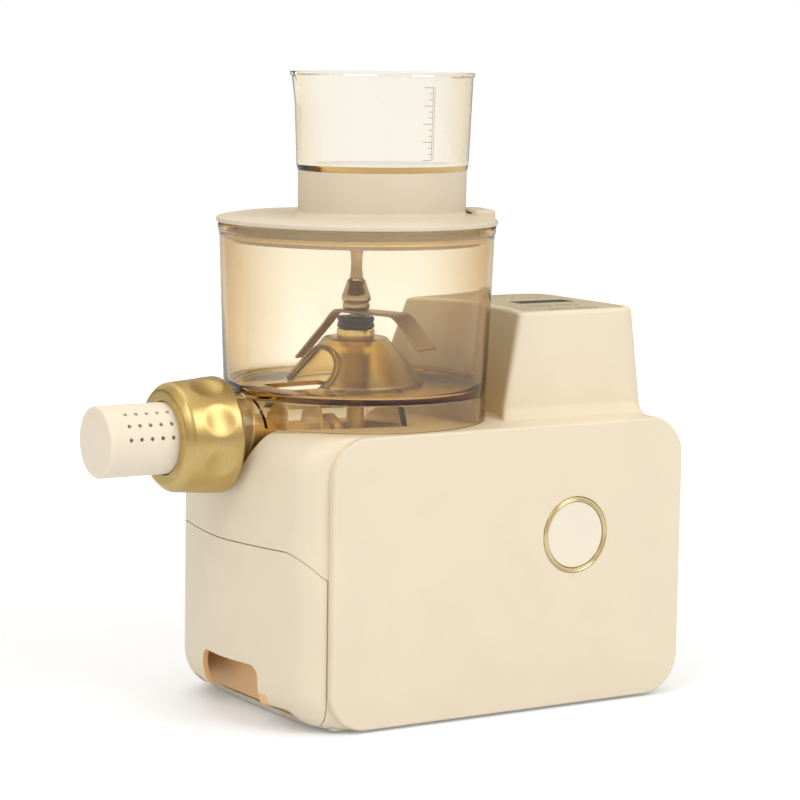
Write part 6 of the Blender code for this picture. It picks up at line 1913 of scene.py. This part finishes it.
@dataclass
class Studio:
    """The camera, the lamps, the world and the floor."""

    place: Point = (-0.7787 + BOWL_X, -1.2799, 0.3522)
    azimuth: float = 32.23
    pitch: float = 7.28
    roll: float = -0.94
    focal_pixels: float = 2864.49
    picture_pixels: int = 800
    sensor: float = 36.0
    lamp_aim: Point = (0.02, 0, 0.15)
    fill: Colour = (1.0, 0.93, 0.81)
    fill_strength: float = 0.72
    gloss_tint: Colour = (1.0, 0.90, 0.72)
    gloss_stops: tuple[Flat, ...] = ((0.0, 0.30), (0.10, 0.42), (0.34, 0.95), (0.70, 1.0), (1.0, 0.75))
    band_count: float = 5.0
    band_start: float = 0.6
    floor_half: float = 4

    def camera(self) -> None:
        """Place the camera at the photograph's viewing angle."""
        heading, down, lean = (math.radians(v) for v in (self.azimuth, self.pitch, self.roll))
        ahead = Vector((math.sin(heading) * math.cos(down), math.cos(heading) * math.cos(down),
                        -math.sin(down)))
        right = Vector((math.cos(heading), -math.sin(heading), 0))
        up = right.cross(ahead)
        right_turned = math.cos(lean) * right - math.sin(lean) * up
        up_turned = math.sin(lean) * right + math.cos(lean) * up
        data = bpy.data.cameras.new("camera")
        data.sensor_width = self.sensor
        data.lens = self.sensor * self.focal_pixels / self.picture_pixels
        data.clip_end = 50.0
        camera = linked("camera", data)
        basis = Matrix((right_turned, up_turned, -ahead)).transposed().to_4x4()
        camera.matrix_world = Matrix.Translation(self.place) @ basis
        bpy.context.scene.camera = camera

    def lamp(self, name: str, place: Point, size: Flat, power: float) -> None:
        """Hang one soft lamp that faces the object.

        Args:
            name: The lamp's name.
            place: Where it hangs.
            size: Its width and height.
            power: Its power in watts.
        """
        data = bpy.data.lights.new(name, "AREA")
        data.shape = "RECTANGLE"
        data.size, data.size_y = size
        data.energy = power
        lamp = linked(name, data)
        aim = Vector(self.lamp_aim) - Vector(place)
        lamp.matrix_world = Matrix.Translation(place) @ aim.to_track_quat("-Z", "Y").to_matrix().to_4x4()

    def world(self) -> None:
        """Light the object evenly, show white to the camera, and show upright bands in reflections."""
        world = bpy.data.worlds.new("studio")
        world.use_nodes = True
        sheet = ShaderSheet(world.node_tree, "OutputWorld")
        plain = sheet.add("Background", color=(*self.fill, 1), strength=self.fill_strength)
        white = sheet.add("Background", color=(1.0, 1.0, 1.0, 1), strength=1.0)
        parts = sheet.add("SeparateXYZ", vector=sheet.add("TexCoord").outputs["Generated"]).outputs
        ramp = sheet.add("ValToRGB", fac=parts["Z"])
        elements, stops = ramp.color_ramp.elements, self.gloss_stops
        elements[0].position, elements[1].position = stops[0][0], stops[-1][0]
        for position, _ in stops[1:-1]:
            elements.new(position)
        for element, (_, level) in zip(elements, stops):
            element.color = (*(level * part for part in self.gloss_tint), 1)
        turn = sheet.sum("ARCTAN2", parts["Y"], parts["X"])
        swing = sheet.sum("SINE", sheet.sum("MULTIPLY_ADD", turn, self.band_count, self.band_start))
        gloss = sheet.add("Background", color=ramp.outputs[0], strength=sheet.span(swing, 0.45, 1.0, -0.5, 0.5))
        glossy = sheet.add("LightPath").outputs["Is Glossy Ray"]
        lit = sheet.chain("MixShader", glossy, plain.outputs[0], gloss.outputs[0])
        sheet.finish(sheet.chain("MixShader", sheet.seen_directly(), lit, white.outputs[0]))
        bpy.context.scene.world = world

    def floor(self) -> None:
        """Lay the studio paper."""
        work, half = bmesh.new(), self.floor_half
        for x, y in ((-half, -half), (half, -half), (half, half), (-half, half)):
            work.verts.new((x, y, 0))
        work.faces.new(work.verts)
        floor = object_of("studio_floor", work)
        floor.data.materials.append(Coat.PAPER.material())

    def build(self, frame: dict[str, Any]) -> None:
        """Set up the whole studio.

        Args:
            frame: The loaded frame, which is not used.
        """
        bpy.context.scene.view_settings.view_transform = "Standard"
        self.camera()
        self.lamp("key", (0.55, -1.30, 1.30), (0.9, 0.9), 8.6)
        self.lamp("side", (-1.00, -0.60, 1.30), (0.7, 0.7), 5.0)
        self.lamp("top", (0.0, 0.25, 1.50), (1.2, 1.2), 4.5)
        self.world()
        self.floor()


def main() -> None:
    """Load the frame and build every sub-assembly."""
    logging.basicConfig(level=logging.INFO, format="%(name)s: %(message)s")
    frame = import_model()
    form = BodyForm()
    assemblies = (Housing(form), ControlPanel(form), PushButton(), Drawer(form), Drive(), Bowl(), Stirrer(),
                  Extruder(), LidAndCup(), Studio())
    for assembly in assemblies:
        assembly.build(frame)
        LOG.info("built %s", type(assembly).__name__)


if __name__ == "__main__":
    main()
